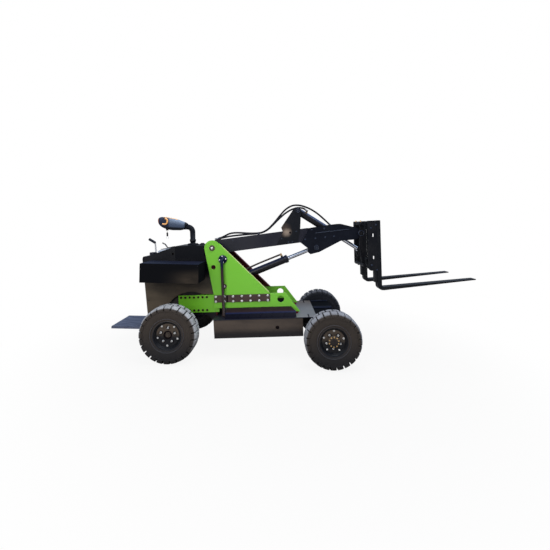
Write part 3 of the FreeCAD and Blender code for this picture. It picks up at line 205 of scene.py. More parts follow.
world = bpy.data.worlds.new("surround")
scene.world = world
world.use_nodes = True
world.node_tree.nodes.clear()
seen = source(world.node_tree, "LightPath", "Is Camera Ray")
outwards = source(world.node_tree, "TexCoord", "Generated")
sky = outwards.z.over(-0.05, 0.85).mixed((200, 205, 215), (620, 800, 1100))
soft = seen.node("Background", {}, {"Color": sky, "Strength": 0.8})
white = seen.node("Background", {}, {"Color": (1, 1, 1, 1), "Strength": 1})
around = seen.node("MixShader", {}, {0: seen, 1: soft, 2: white})
around.node("OutputWorld", {}, {"Surface": around})


def lamp(name, place, target, size, power, colour):
    """Square area lamp that looks at a point."""
    data = bpy.data.lights.new(name, "AREA")
    data.size, data.energy, data.color = size, power, colour
    made = placed(name, data)
    made.location = place
    made.rotation_euler = (Vector(target) - Vector(place)).to_track_quat("-Z", "Y").to_euler()
    return made


lamp("overhead", (0.6, -0.6, 4.4), (0, 0, 0.6), 3, 150, (0.93, 0.97, 1))
lamp("near_side", (-2.6, -4.4, 2.9), (0, 0, 0.7), 2.4, 110, (1, 0.98, 0.95))
far_lamp = lamp("far_side", (2.4, 4.2, 2.6), (0, 0, 0.8), 2.4, 60, (1, 1, 1))
far_lamp.visible_glossy = False

camera = placed("camera", bpy.data.cameras.new("camera"))
camera.data.lens, (camera.data.shift_x, camera.data.shift_y) = LENS, SHIFT
camera.matrix_world = Matrix.Translation(EYE) @ turned(90, "X") @ turned(EYE_ROLL, "Z")
scene.camera = camera
scene.view_settings.view_transform = "Standard"

# -------- where the pieces sit
# The chassis stands nose-up on its wheels, so its pieces are placed in its own square frame,
# which shares the rear axle.  The boom and the carriage have frames at their own pins.
nose_ahead = Vector(mounts["nose_face"]["axis"])
rake = math.atan2(nose_ahead.z, nose_ahead.x)
tip = Matrix.Rotation(-rake, 4, "Y")
chassis = (
    Matrix.Translation((rear_hub.x, 0, rear_hub.z)) @ tip @ Matrix.Translation((0, 0, -rear_hub.z)))
boom_pin = joint_at("boom_lift")
carriage_pin = joint_at("carriage_tilt")
CARRIAGE_PIN_DROP = 0.062
reach = carriage_pin - boom_pin
boom_rise = math.atan2(reach.z, reach.x) + math.asin(CARRIAGE_PIN_DROP / reach.length)
boom = Matrix.Translation(boom_pin) @ Matrix.Rotation(-boom_rise, 4, "Y")
carriage = Matrix.Translation(carriage_pin) @ tip
ACROSS = turned(90, "X")
ALONG = turned(90, "Y")
LIFT_PINS = chassis @ Vector((0.521, 0, 0.701)), boom @ Vector((1.196, 0, -0.161))
TILT_PINS = boom @ Vector((1.037, 0, 0.3)), carriage @ Vector((-0.008, 0, -0.196))
SIDES = {"right": -1, "left": 1}
BOTH = tuple(SIDES.values())


def shifted(place, x, y, z):
    """A place moved in its own directions."""
    return place @ Matrix.Translation((x, y, z))


def aimed(start, ahead):
    """Frame at a point with its Z axis along a direction."""
    return Matrix.Translation(start) @ ahead.to_track_quat("Z", "Y").to_matrix().to_4x4()


def lifted(place, z):
    """A place moved along its own Z."""
    return shifted(place, 0, 0, z)


def between(start, end):
    """Frame at one pin, its X axis towards another."""
    ahead = end - start
    return Matrix.Translation(start) @ Matrix.Rotation(-math.atan2(ahead.z, ahead.x), 4, "Y")


finishes = {}
shapes = collections.defaultdict(bmesh.new)     # pieces in the making, by name


def blank_finish(name, specular=0.5, metallic=0):
    """A new material in finishes: its shader, and coordinates on the machine."""
    material = finishes[name] = bpy.data.materials.new(name)
    material.use_nodes = True
    tree = material.node_tree
    shader = tree.nodes["Principled BSDF"]
    shader.inputs["Specular IOR Level"].default_value = specular
    shader.inputs["Metallic"].default_value = metallic
    return shader, source(tree, "TexCoord", "Object")


def finish(name, specular):
    """Decorator that makes a finish at once with the function below it."""
    return lambda describe: describe(*blank_finish(name, specular))


def feed(shader, colour, rough, normal=None, metallic=None):
    """Link values to a shader's sockets."""
    links = {"Base Color": colour, "Roughness": rough, "Normal": normal, "Metallic": metallic}
    for socket, link in links.items():
        if link is not None:
            link.tree.links.new(link.socket, shader.inputs[socket])


def dress(names, finish):
    """Give CAD nodes a finish."""
    for name in names:
        nodes[name].data.materials.clear()
        nodes[name].data.materials.append(finishes[finish])


def piece(name, finish, body="chassis", smooth=True):
    """Make this shape an object that rides on a body."""
    shape = shapes.pop(name)
    ops.remove_doubles(shape, verts=shape.verts, dist=1e-6)
    ops.recalc_face_normals(shape, faces=shape.faces)
    made = placed(name, bpy.data.meshes.new(name))
    shape.to_mesh(made.data)
    shape.free()
    made.data.materials.append(finishes[finish])
    if smooth:
        made.data.shade_smooth()
        made.data.set_sharp_from_angle(angle=math.radians(32))
    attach(made, body)
    return made


def grown(name, node, by):
    """Start a shape from a CAD node, its faces moved outwards."""
    shape = shapes[name]
    shape.from_mesh(nodes[node].data)
    ops.remove_doubles(shape, verts=shape.verts, dist=2e-5)
    shape.normal_update()
    for vert in shape.verts:
        vert.co += vert.normal * by


def edges_of(verts):
    """Edges that meet these vertices."""
    return {edge for vert in verts for edge in vert.link_edges}


def extruded(shape, faces):
    """Extrude faces on the spot: the new vertices, still to be moved."""
    far = ops.extrude_face_region(shape, geom=faces)["geom"]
    return [item for item in far if isinstance(item, bmesh.types.BMVert)]


def profile_plate(name, place, profile, low, high):
    """Plate: an outline in X and Z, between two distances along Y."""
    shape = shapes[name]
    corners = [shape.verts.new((x, low, z)) for x, z, *_ in profile]
    shape.faces.new(corners)
    rounds = {}
    for corner, (_, _, *radius) in zip(corners, profile):
        rounds.setdefault(radius[0] if radius else 0, []).append(corner)
    made = set(corners)
    for radius, group in rounds.items():
        if radius > 0:
            cut = ops.bevel(shape, geom=group, offset=radius, affect="VERTICES", segments=4,
                            profile=0.5, material=-1)
            made |= set(cut["verts"])
    made = {vert for vert in made if vert.is_valid}
    outline = list({f for vert in made for f in vert.link_faces})
    far = extruded(shape, outline)
    ops.translate(shape, vec=(0, high - low, 0), verts=far)
    ops.transform(shape, matrix=place, verts=list(made) + far)


def bevelled(shape, edges, offset, segments=1, clamp=True):
    """Cut or round edges of a shape."""
    ops.bevel(shape, geom=edges, offset=offset, affect="EDGES", segments=segments,
              profile=0.5, material=-1, clamp_overlap=clamp)


def bar(name, place, radius, length, segments=24, end_radius=None):
    """Round bar centred on place, along its local Z."""
    return ops.create_cone(
        shapes[name], cap_ends=True, segments=segments, radius1=radius,
        radius2=radius if end_radius is None else end_radius, depth=length, matrix=place)["verts"]


def block(name, place, size, round_by=0):
    """Block centred on place, its edges rounded a little."""
    scale = Matrix.Diagonal((*size, 1))
    verts = ops.create_cube(shapes[name], size=1, matrix=place @ scale)["verts"]
    if round_by > 0:
        bevelled(shapes[name], list(edges_of(verts)), round_by, 2)


def bolt(name, place, size, washer=1.25, proud=0.55):
    """Washer and chamfered hexagon head on place, along its local Z."""
    thick, head = 0.22 * size, proud * size
    bar(name, lifted(place, thick / 2), washer * size, thick)
    verts = bar(name, lifted(place, thick + head / 2), size, head, 6)
    top = [edge for edge in edges_of(verts)
           if all((place.inverted() @ v.co).z > thick + 0.9 * head for v in edge.verts)]
    bevelled(shapes[name], top, 0.16 * size, clamp=False)


def spread(ends, count):
    """Even places from one end to the other."""
    return [ends[0] + number / (count - 1) * (ends[1] - ends[0]) for number in range(count)]


def circle(place, count, radius, out=0, phase=0):
    """Even places on a circle about a place's local Z."""
    return [shifted(place @ turned(360 / count * number + phase, "Z"), radius, 0, out)
            for number in range(count)]


def at_side(side, x, z, out, place=chassis):
    """Place on a flank, its local Z pointing outwards."""
    return shifted(place, x, side * out, z) @ turned(-90 * side, "X")


def ring(name, place, radius, thickness, segments=32, around=8, start=0, sweep=360):
    """Round ring, or part of one, about a place's local Z."""
    shape = shapes[name]
    wire = ops.create_circle(
        shape, cap_ends=sweep < 360, segments=around, radius=thickness,
        matrix=Matrix.Translation((radius, 0, 0)) @ ACROSS)["verts"]
    ops.transform(shape, matrix=turned(start, "Z"), verts=wire)
    faces = {face for vert in wire for face in vert.link_faces}
    first = set(shape.verts) - set(wire)
    ops.spin(shape, geom=[*wire, *edges_of(wire), *faces], axis=(0, 0, 1),
             angle=math.radians(sweep), steps=max(3, round(segments * sweep / 360)),
             use_merge=sweep >= 360)
    made = [vert for vert in shape.verts if vert not in first]
    ops.transform(shape, matrix=place, verts=made)


def tube(name, points, radius, segments=10):
    """Round tube through points, smooth between them, its ends closed."""
    shape = shapes[name]
    path = [Vector(point) for point in points]
    fine = []
    for number in range(len(path) - 1):
        before = path[max(number - 1, 0)]
        after = path[min(number + 2, len(path) - 1)]
        here, there = path[number], path[number + 1]
        for step in range(6):
            t = step / 6
            curve = (2 * before - 5 * here + 4 * there - after) * t ** 2
            twist = (3 * here - before - 3 * there + after) * t ** 3
            fine.append(0.5 * (2 * here + (there - before) * t + curve + twist))
    fine.append(path[-1])
    loops = []
    for number, centre in enumerate(fine):
        ahead = fine[min(number + 1, len(fine) - 1)] - fine[max(number - 1, 0)]
        loops.append(ops.create_circle(
            shape, segments=segments, radius=radius, matrix=aimed(centre, ahead))["verts"])
    for one, two in zip(loops, loops[1:]):
        for k in range(segments):
            shape.faces.new((one[k], one[(k + 1) % segments], two[(k + 1) % segments], two[k]))
    shape.faces.new(list(reversed(loops[0])))
    shape.faces.new(loops[-1])


# -------- tyres
# Industrial lug tyres: two staggered rows of blocks on a smooth casing, with a rim guard
# ring and a mould line on each wall.  Black rubber, dusted pale where the blocks face up, with
# painted sky light on those tops, painted shade low on the walls and a painted highlight on
# the guard ring.
TYRE_R, TYRE_HALF, BEAD_R = 0.295, 0.09, 0.138
LUGS, LUG_SHARE, GROOVE = 24, 0.83, 0.02
LUG_PITCH = math.tau / LUGS


def casing_section():
    """Casing from wall to wall, as (radius, distance from the middle)."""
    crown, wall = TYRE_R - GROOVE, TYRE_HALF - 0.004
    half = [
        (crown, 0), (crown - 0.001, 0.046), (crown - 0.009, wall - 0.024),
        (crown - 0.021, wall - 0.012), (0.2505, wall - 0.001), (0.2485, wall + 0.005),
        (0.2455, wall + 0.0052), (0.243, wall + 0.0012), (0.215, wall + 0.0025),
        (0.185, wall + 0.0005), (0.176, wall - 0.0025), (0.173, wall + 0.0025),
        (0.1675, wall + 0.0025), (0.164, wall - 0.005), (0.152, wall - 0.0095),
        (BEAD_R + 0.004, wall - 0.013), (BEAD_R, wall - 0.016), (BEAD_R - 0.006, wall - 0.03)]
    return [(radius, -out) for radius, out in reversed(half[1:])] + half


def lug_mesh():
    """One block of the left row, chamfered and skewed inwards."""
    shape, wall = bmesh.new(), TYRE_HALF
    section = [
        (TYRE_R - GROOVE - 0.004, 0.003), (TYRE_R, 0.003), (TYRE_R - 0.0005, 0.05),
        (TYRE_R - 0.008, wall - 0.012), (TYRE_R - 0.024, wall - 0.002),
        (TYRE_R - 0.046, wall + 0.0005), (TYRE_R - 0.05, wall - 0.01)]
    face = shape.faces.new([shape.verts.new((0, out, radius)) for radius, out in section])
    shape.faces.new([shape.verts.new(v.co) for v in reversed(face.verts)])
    ops.spin(shape, geom=[face], axis=(0, 1, 0), angle=LUG_PITCH * LUG_SHARE, steps=4)
    ops.remove_doubles(shape, verts=shape.verts, dist=1e-6)
    ops.recalc_face_normals(shape, faces=shape.faces)
    sharp = [edge for edge in shape.edges
             if len(edge.link_faces) == 2 and edge.calc_face_angle() > math.radians(35)]
    bevelled(shape, sharp, 0.0032)
    for vert in shape.verts:
        along = abs(math.atan2(vert.co.x, vert.co.z)) / (LUG_PITCH * LUG_SHARE)
        inward = max(0, 1 - abs(vert.co.y) / (0.6 * wall))
        vert.co.y += 0.018 * inward * (1 - abs(2 * along - 1))
    made = bpy.data.meshes.new("lug")
    shape.to_mesh(made)
    shape.free()
    return made


def tyre_shape(place):
    """A whole tyre on its wheel's centre."""
    shape, lug = bmesh.new(), lug_mesh()
    for row in range(2):
        for number in range(LUGS):
            first = len(shape.verts)
            shape.from_mesh(lug)
            shape.verts.ensure_lookup_table()
            turn = Matrix.Rotation((number + 0.5 * row) * LUG_PITCH, 4, "Y")
            flip = Matrix.Diagonal((1, -1 if row else 1, 1, 1))
            ops.transform(shape, matrix=turn @ flip, verts=shape.verts[first:])
    verts = [shape.verts.new((0, out, radius)) for radius, out in casing_section()]
    edges = [shape.edges.new(pair) for pair in zip(verts, verts[1:])]
    ops.spin(shape, geom=verts + edges, axis=(0, 1, 0), angle=math.tau, steps=96, use_merge=True)
    ops.transform(shape, matrix=place, verts=shape.verts)
    bpy.data.meshes.remove(lug)
    return shape


def rubber_finish(name, centre, pale, wall_colours):
    """Dusty rubber: brown-black walls with painted shade low down and a painted highlight on the guard ring; pale
    dust with painted sky light on the blocks' tops.
    """
    shader, place = blank_finish(name, 0.3)
    local = place.beside(centre)
    radius = local.radius()
    blotch, fine = local.noise(9, 4), local.noise(120, 2)
    # The blocks' tops where they face up: pale dust, lit with painted sky light.
    top = radius.over(TYRE_R - 0.024, TYRE_R - 0.008) * local.z.over(-0.22, 0.02)
    dust_and_painted_light = (blotch.over(0.3, 0.7) * 0.35 + 0.65) * top
    # Painted shade: the lower part of each wall is darkened towards black.
    low = (local.z * -1).over(-0.1, 0.24)
    wall = (blotch * 0.6 + fine * 0.4).mixed(*wall_colours)
    wall = (low * 0.85).mixed(wall, (6, 6.5, 8.5))
    # Painted highlight: a pale ring on each wall's guard ring.
    guard_ring_highlight = radius.over(0.163, 0.168) * radius.under(0.173, 0.177)
    wall = (guard_ring_highlight * 0.3).mixed(wall, (90, 90, 105))
    feed(shader, dust_and_painted_light.mixed(wall, pale),
         dust_and_painted_light * 0.12 + 0.72, (fine + blotch * 0.5).bumped(0.0006, 0.7))


# Lug tops: pale dust with painted sky light, set per wheel by how the light falls on it.
LUG_TOP_DUST_AND_LIGHT = {"front_right": (240, 240, 258), "front_left": (85, 85, 95)}
BROWN_WALL = ((28, 21, 16), (50, 37, 28))
# The far front wheel's walls and tops are painted darker as shade.
SHADED_WALL = ((7, 8.5, 13), (12, 13, 17.5))
WHEELS = [end + "_" + side for end in ("front", "rear") for side in SIDES]
for name in WHEELS:
    hub = joint_at("spin_" + name)
    rubber_finish(
        "rubber_" + name, hub, LUG_TOP_DUST_AND_LIGHT.get(name, (390, 385, 390)),
        SHADED_WALL if name == "front_left" else BROWN_WALL)
    shapes["tyre_tread_" + name] = tyre_shape(Matrix.Translation(hub))
    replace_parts(piece("tyre_tread_" + name, "rubber_" + name, "wheel_" + name),
                "tyre_" + name)

# -------- rims and hubs
# Pressed split rims in black paint with a brown dust film on the discs' upper halves; the
# lower halves and the wells are painted dark as shade, and the lips lighter above as painted
# light.  Five bright nuts hold each wheel, each on a painted shadow, and five bright bolts its
# two halves; the drive flanges add a ring of gold-passivated bolts, and each rear hub cap sits
# in a ring of painted shade.
NUT_RING, SPLIT_RING, FLANGE_RING = 0.074, 0.106, 0.049
DISC_OUT = 0.052            # disc's outer face from the wheel's centre plane
FLANGE_OUT = 0.078          # drive flange's face
CAP_OUT, CAP_R, CAP_HOLE_R = 0.042, 0.029, 0.0445


def paint_finish(name, dark, film, film_share=0.5, specular=0.25, gloss=0.28, grain=3):
    """Sprayed paint with orange peel: its own colour, under a cloudy film of another."""
    shader, place = blank_finish(name, specular)
    cloud = place.noise(grain, 4).over(0.35, 0.72)
    scuff = place.noise(38, 5, (0.4, 1, 2.2)).over(0.62, 0.8)
    feed(shader, (cloud * film_share + scuff * 0.12).mixed(dark, film),
         cloud * 0.14 + scuff * 0.1 + gloss, place.peel())


def metal_finish(name, colour, rough=0.32, spots=0.25, grime=(100, 80, 60)):
    """Plated or turned metal with slightly duller, darker spots."""
    shader, place = blank_finish(name, metallic=1)
    cloud = place.noise(90, 4)
    spot = cloud.over(0.52, 0.75) * spots
    feed(shader, spot.mixed(colour, grime), cloud * 0.18 + rough)


def rim_finish(name, centre):
    """Brown dust on the disc's upper half, painted shade below it and in the well, and a lip lighter above as
    painted light.
    """
    shader, place = blank_finish(name, 0.25)
    local = place.beside(centre)
    upper = local.z.over(-0.05, 0.05)
    radius = local.radius()
    painted_well_shade, lip = radius.over(0.113, 0.119), radius.over(0.141, 0.146)
    blotch = local.noise(24, 4)
    # Brown dust on the upper half; the lower half is painted dark as shade.
    dust_and_painted_light = (upper * 0.75 + blotch * 0.25).over(0.15, 0.85)
    colour = dust_and_painted_light.mixed((5.5, 6, 8), (74, 54, 38))
    # Painted shade: the well inside the lip is near-black.
    colour = painted_well_shade.mixed(colour, (3, 3.2, 4.5))
    # Painted light: the lip is lighter on the upper half and blue-black below.
    lit = upper.mixed((10, 13, 22), (42, 36, 36))
    feed(shader, lip.mixed(colour, lit),
         blotch * 0.15 + 0.36, local.noise(220, 1).bumped(0.0001, 0.5))


metal_finish("bright_zinc", (740, 730, 710), 0.36, 0.15)
# Near-black for painted shade: in holes, slits and recesses, under nuts, and for one cast shadow.
paint_finish("painted_shade_black", (6, 3, 4), (10, 5, 5), 0.5, 0.1, 0.7)
metal_finish("gold_zinc", (660, 440, 200), 0.4, 0.2)
paint_finish("drive_paint", (22, 17, 15), (34, 26, 23), 0.5, 0.2, 0.45, 30)
paint_finish("cap_paint", (50, 37, 28), (95, 70, 52), 0.6, 0.25, 0.4, 40)
for name in WHEELS:
    end, side = name.split("_")
    wheel = "wheel_" + name
    centre = joint_at("spin_" + name)
    hub = Matrix.Translation(centre) @ turned(-90 * SIDES[side], "X")
    rim_finish("rim_paint_" + name, centre)
    dress(["rim_" + name], "rim_paint_" + name)
    nuts, nut_shadow_discs = "wheel_nuts_" + name, "painted_nut_shadows_" + name
    phase = 90 if end == "front" else 126
    for at in circle(hub, 5, SPLIT_RING, DISC_OUT, phase):
        bolt(nuts, at, 0.0078)
    for at in circle(hub, 5, NUT_RING, DISC_OUT, phase + 36):
        bolt(nuts, at, 0.0095, 1.2, 0.9)
        bar(nuts, lifted(at, 0.0165), 0.0055, 0.009, 16, 0.0045)
        # A dark disc under each nut: painted shadow.
        bar(nut_shadow_discs, lifted(at, 0.0006), 0.02, 0.0012, 28)
    piece(nuts, "bright_zinc", wheel)
    piece(nut_shadow_discs, "painted_shade_black", wheel)
    if end == "front":
        bolts, cap = "flange_bolts_" + name, "drive_cap_" + name
        for at in circle(hub, 10, FLANGE_RING, FLANGE_OUT, 90):
            bolt(bolts, at, 0.0058)
        piece(bolts, "gold_zinc", wheel)
        for radius, rise in ((0.033, 0.003), (0.012, 0.006)):
            bar(cap, lifted(hub, FLANGE_OUT + rise / 2), radius, rise, 32, radius - 0.002)
        piece(cap, "drive_paint", wheel)
    else:
        cap, moat_shade = "hub_cap_" + name, "hub_moat_shade_" + name
        face = lifted(hub, CAP_OUT)
        bar(cap, lifted(face, 0.0035), CAP_R - 0.001, 0.007, 40, CAP_R - 0.004)
        ring(cap, lifted(face, 0.007), 0.019, 0.0022)
        bar(cap, lifted(face, 0.0095), 0.01, 0.006, 6)
        piece(cap, "cap_paint", wheel)
        # Painted shade: a dark disc shows as a ring round the cap, where the hub's hole is.
        bar(moat_shade, lifted(face, -0.0012), CAP_HOLE_R, 0.001, 48)
        piece(moat_shade, "painted_shade_black", wheel)

# -------- axles and engine
# Castings and weldments under the chassis: thick black paint over a sandy skin, brown with
# dust where the road throws it up.
paint_finish("cast_paint", (12, 12, 13), (45, 36, 28), 0.6, 0.25, 0.5, 14)
dress(["front_axle", "rear_axle", "tie_rod", "engine_block"]
      + ["knuckle_" + side for side in SIDES], "cast_paint")

# -------- chassis, tanks and deck
# Welded beams and folded tanks in black gloss.  The flanks carry a warm film, dust and a
# painted reflection of the ground, that thins out towards the lower edge; the deck on top is
# bare grey plate with scuffs, its edges painted blue-black as shade with a sky reflection, and
# near-black behind its front end as painted shade.


def square(place):
    """Distance ahead of the rear axle and height, square to the chassis."""
    ahead, cos, sin = place.x - rear_hub.x, math.cos(rake), math.sin(rake)
    return (ahead * cos + (place.z - rear_hub.z) * sin,
            place.z * cos - ahead * sin + rear_hub.z * (1 - cos))


def flank_finish(name, dark, warm, low, high, share=1, specular=0.25):
    """Black gloss with a cloudy, streaked warm film between two heights: dust and a painted reflection of the
    ground.
    """
    shader, place = blank_finish(name, specular)
    height = square(place)[1]
    band = height.over(low[0], low[1]) * height.under(high[0], high[1])
    cloud = place.noise(2.2, 4, (1, 1, 2.6)).over(0.25, 0.65)
    streak = place.noise(9, 3, (0.25, 1, 3))
    film = band * (cloud * 0.55 + streak * 0.3 + 0.32) * share
    feed(shader, film.mixed(dark, warm), film * 0.12 + 0.24, place.peel(240))


flank_finish("tank_paint", (12, 10, 11), (82, 60, 46), (0.195, 0.285), (0.352, 0.372))
paint_finish("frame_paint", (7, 7, 10), (24, 20, 18))
dress(["main_frame"], "frame_paint")
paint_finish("nose_black", (2.2, 2.6, 3.4), (5, 5, 6), 0.5, 0.02, 0.6)
dress(["front_crossbeam"], "nose_black")
dress(["side_tanks"], "tank_paint")


@finish("sill_paint", 0.03)
def sill_finish(shader, place):
    """Dark warm upper face, blue-black lower face, and a painted blue sky highlight along the fold."""
    height = square(place)[1]
    cloud = place.noise(12, 4)
    upper = height.over(0.42, 0.426)
    lower = (cloud * 0.5).mixed((2, 2.2, 7.5), (6, 5, 8))
    raised = cloud.mixed((16, 9.5, 11), (27, 16, 17))
    # Painted highlight: the fold between the two faces is tinted sky blue.
    fold_sky_highlight = height.over(0.41, 0.42) * height.under(0.423, 0.429)
    colour = (fold_sky_highlight * 0.8).mixed(upper.mixed(lower, raised), (12, 16, 50))
    feed(shader, colour, cloud * 0.16 + 0.26)


SILL_SECTION = ((0.195, 0.455), (0.208, 0.455), (0.305, 0.423), (0.353, 0.371), (0.195, 0.371))
SILL_ENDS, SILL_SLANT = (0.545, 1.276), 0.048
SILL_LEAN, SILL_SLOPE = math.atan2(0.048, 0.052), math.atan2(0.032, 0.097)
sills = shapes["sill_skins"]
for side in BOTH:
    section = [sills.verts.new((SILL_ENDS[0], side * y, z)) for y, z in SILL_SECTION]
    face = sills.faces.new(section)
    for vert in extruded(sills, [face]):
        vert.co.x = SILL_ENDS[1] + (SILL_SLANT if vert.co.z < 0.45 else 0)
ops.transform(sills, matrix=chassis, verts=sills.verts)
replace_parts(piece("sill_skins", "sill_paint"), "sills")


@finish("deck_grey", 0.3)
def deck_finish(shader, place):
    """Grey plate with streaks and scuffs; its edges painted blue-black as shade with a sky reflection, and the
    plate behind its front end painted near-black as shade.
    """
    # Painted shade with a blue sky reflection on every face that does not face up.
    facing = place.facing.z.over(0.6, 0.8)
    streak = place.noise(14, 5, (0.5, 3, 1))
    scuff = place.noise(60, 3, (1, 4, 1)).over(0.62, 0.72)
    grey = streak.over(0.3, 0.7).mixed((105, 108, 112), (138, 132, 128))
    grey = place.y.over(-0.05, 0.32).mixed(grey, (85, 68, 55))
    grey = (scuff * 0.3).mixed(grey, (160, 140, 120))
    # Painted shade: near-black behind the front end, where the deck lies in shadow.
    ahead = square(place)[0].over(1.3, 1.34)
    grey = ahead.mixed((10, 10, 16), grey)
    feed(shader, facing.mixed((6, 8, 22), grey), streak * 0.2 + 0.36, streak.bumped(0.0002, 0.5))


dress(["deck_plate"], "deck_grey")

TANK_HOLE, SILL_RIBS = (1.115, 0.266, 0.343), (0.687, 0.804, 0.935, 1.06, 1.191)
SILL_BOLTS, DECK_SLIT_X = (0.735, 0.87, 0.997, 1.127, 1.235), 1.462
SILL_RIB_SPOT, SILL_RIB_TURN, SILL_BOLT_SPOT = (0.3297, 0.3978), 6, (0.232, 0.4471)
NOSE_RAILS, NOSE_RAIL_X, NOSE_TOP = (0.022, 0.31), 1.664, 0.371
for side in BOTH:
    x, z, out = TANK_HOLE
    # A dark disc in each tank's hole: painted shade.
    bar("tank_hole_shades", at_side(side, x, z, out + 0.0008), 0.0206, 0.0016, 28)
    lean = Matrix.Rotation(side * SILL_LEAN, 4, "X")
    y, z = SILL_RIB_SPOT
    for x in SILL_RIBS:
        at = shifted(chassis, x, side * y, z) @ lean @ turned(SILL_RIB_TURN, "Y")
        block("sill_ribs", at, (0.005, 0.004, 0.066), 0.0012)
    up = Matrix.Rotation(-side * SILL_SLOPE, 4, "X")
    y, z = SILL_BOLT_SPOT
    for x in SILL_BOLTS:
        bolt("sill_bolts", shifted(chassis, x, side * y, z) @ up, 0.0048, 1.2, 0.5)
    # A dark strip in each slit of the deck: painted shade.
    block("deck_slit_shades", shifted(chassis, DECK_SLIT_X, side * 0.305, NOSE_TOP + 0.0006),
          (0.013, 0.108, 0.0012))
    for out in NOSE_RAILS:
        block("nose_rails", shifted(chassis, NOSE_RAIL_X, side * out, NOSE_TOP + 0.005),
              (0.216, 0.02, 0.01), 0.002)
piece("tank_hole_shades", "painted_shade_black", smooth=False)
piece("sill_ribs", "sill_paint")
piece("sill_bolts", "frame_paint")
piece("deck_slit_shades", "painted_shade_black", smooth=False)
# Near-black with a painted blue sky reflection, for faces that look up.
paint_finish("painted_sky_reflection_blue", (4, 6, 18), (7, 9, 20), 0.5, 0.12, 0.45)
piece("nose_rails", "painted_sky_reflection_blue")

# -------- side plates and rails
# Laser-cut plates in bright green.  The tower's inner faces keep their dark red primer, the
# near plate's upward edges carry a painted highlight, and the rear rails are a deeper green.
# Bars in brown paint are bolted over the joint.


def green_finish(name, near, far, x_range, primer_above=None):
    """Green gloss, darker towards the rear, with primer on inner faces and a painted highlight on the near plate's
    upward edges.
    """
    shader, place = blank_finish(name, 0.35)
    along = (place.x - rear_hub.x).over(*x_range)
    cloud = place.noise(3, 3)
    green = (along * 0.8 + cloud * 0.2).mixed(near, far)
    speck = place.noise(70, 4).over(0.68, 0.8)
    green = (speck * 0.25).mixed(green, (100, 140, 30))
    if primer_above is not None:
        out = place.facing.y * place.y
        across = abs(place.y)
        far = place.y.over(-0.02, 0.02)
        inner = (out * -1).over(0.02, 0.08) + far * across.under(0.1915, 0.193)
        height = square(place)[1]
        inner = inner.over(0, 1) * height.over(primer_above, primer_above + 0.004)
        # Painted highlight: the near plate's upward edges are pale where light falls; the far plate's are primer.
        edge = place.facing.z.over(0.4, 0.6)
        edge = edge * height.over(0.6, 0.62) * height.under(1.155, 1.175)
        lit = far.mixed((500, 600, 180), (85, 6, 11))
        green = edge.mixed(green, lit)
        green = inner.mixed(green, (85, 6, 11))
    feed(shader, green, cloud * 0.12 + 0.26, place.peel())


green_finish("tower_green", (186, 540, 34), (208, 580, 50), (0.4, 1.3), 0.607)
green_finish("rail_green", (125, 385, 16), (175, 490, 34), (0, 0.42))
dress(["side_plate_right", "side_plate_left"], "tower_green")
dress(["rear_rails"], "rail_green")
paint_finish("brown_paint", (58, 32, 27), (88, 58, 48), 0.6, 0.3, 0.32, 6)
dress(["splice_bars"], "brown_paint")


@finish("red_primer", 0.2)
def primer_finish(shader, place):
    """Dark red primer, brighter on the feet in front."""
    foot = square(place)[0].over(1.3, 1.32)
    cloud = place.noise(9, 4)
    red = cloud.mixed((60, 4, 8), (90, 10, 14))
    feed(shader, foot.mixed(red, (150, 12, 20)), cloud * 0.2 + 0.45)


dress(["tower_web"], "red_primer")

PLATE_OUT, BAR_OUT, RAIL_OUT = 0.205, 0.215, 0.1933
BAR_BOLT_X, BAR_BOLT_ROWS, BAR_BOLTS = (0.424, 1.014), (0.532, 0.587), 7
RAIL_HOLE_X, RAIL_HOLE_ROWS, RAIL_HOLES = (0.022, 0.317), (0.434, 0.582), 7
for side in BOTH:
    for row in BAR_BOLT_ROWS:
        for x in spread(BAR_BOLT_X, BAR_BOLTS):
            bolt("bar_bolts", at_side(side, x, row, BAR_OUT), 0.0115, 1.15, 0.6)
    for row in RAIL_HOLE_ROWS:
        for x in spread(RAIL_HOLE_X, RAIL_HOLES):
            # A dark red disc in each rail hole: primer inside, painted darker as shade.
            bar("rail_hole_shades", at_side(side, x, row, RAIL_OUT), 0.013, 0.002, 20)
    # Painted shadow: a dark strip on each splice bar, where the pipe's shadow falls.
    block("bar_shadow_strips", shifted(chassis, 0.5535, side * 0.2154, 0.561), (0.017, 0.0012, 0.078))
piece("bar_bolts", "bright_zinc")
paint_finish("hole_shade_red", (22, 1.5, 8), (32, 3, 12), 0.5, 0.1, 0.6)
piece("rail_hole_shades", "hole_shade_red")
piece("bar_shadow_strips", "painted_shade_black", smooth=False)

# -------- tower pins and pipe
# Turned pins with brown end washers and a bright bolt in the middle; the pipe's flange has
# four bright bolts.
PIN_PLACES = ((0.395, 1.142, 0.033), (0.521, 0.701, 0.029))     # boom pin and lift pin
FLANGE_THICK, FLANGE_BOLT_R = 0.012, 0.036
for side in BOTH:
    for x, z, radius in PIN_PLACES:
        place = at_side(side, x, z, PLATE_OUT)
        bar("pin_washers", lifted(place, 0.005), radius, 0.01, 40, radius - 0.003)
        bolt("pin_bolts", lifted(place, 0.0102), 0.0115, 1.2, 0.5)
flange = at_side(-1, 0.514, 1.01, PLATE_OUT + FLANGE_THICK)
for at in circle(flange, 4, FLANGE_BOLT_R, 0, 8):
    bolt("pin_bolts", at, 0.0085, 1.1, 0.7)
piece("pin_washers", "brown_paint")
piece("pin_bolts", "bright_zinc")
metal_finish("pin_steel", (420, 400, 390), 0.38)
dress(["tower_pins"], "pin_steel")


@finish("pipe_paint", 0.12)
def pipe_finish(shader, place):
    """Black pipe, brown with dust below its upper bend, which carries a painted blue sky highlight."""
    cloud = place.noise(5, 4)
    brown = cloud.mixed((20, 12, 13), (42, 26, 24))
    bend_sky_highlight = square(place)[1].over(0.88, 0.94)
    feed(shader, bend_sky_highlight.mixed(brown, (8, 11, 34)), cloud * 0.15 + 0.36)


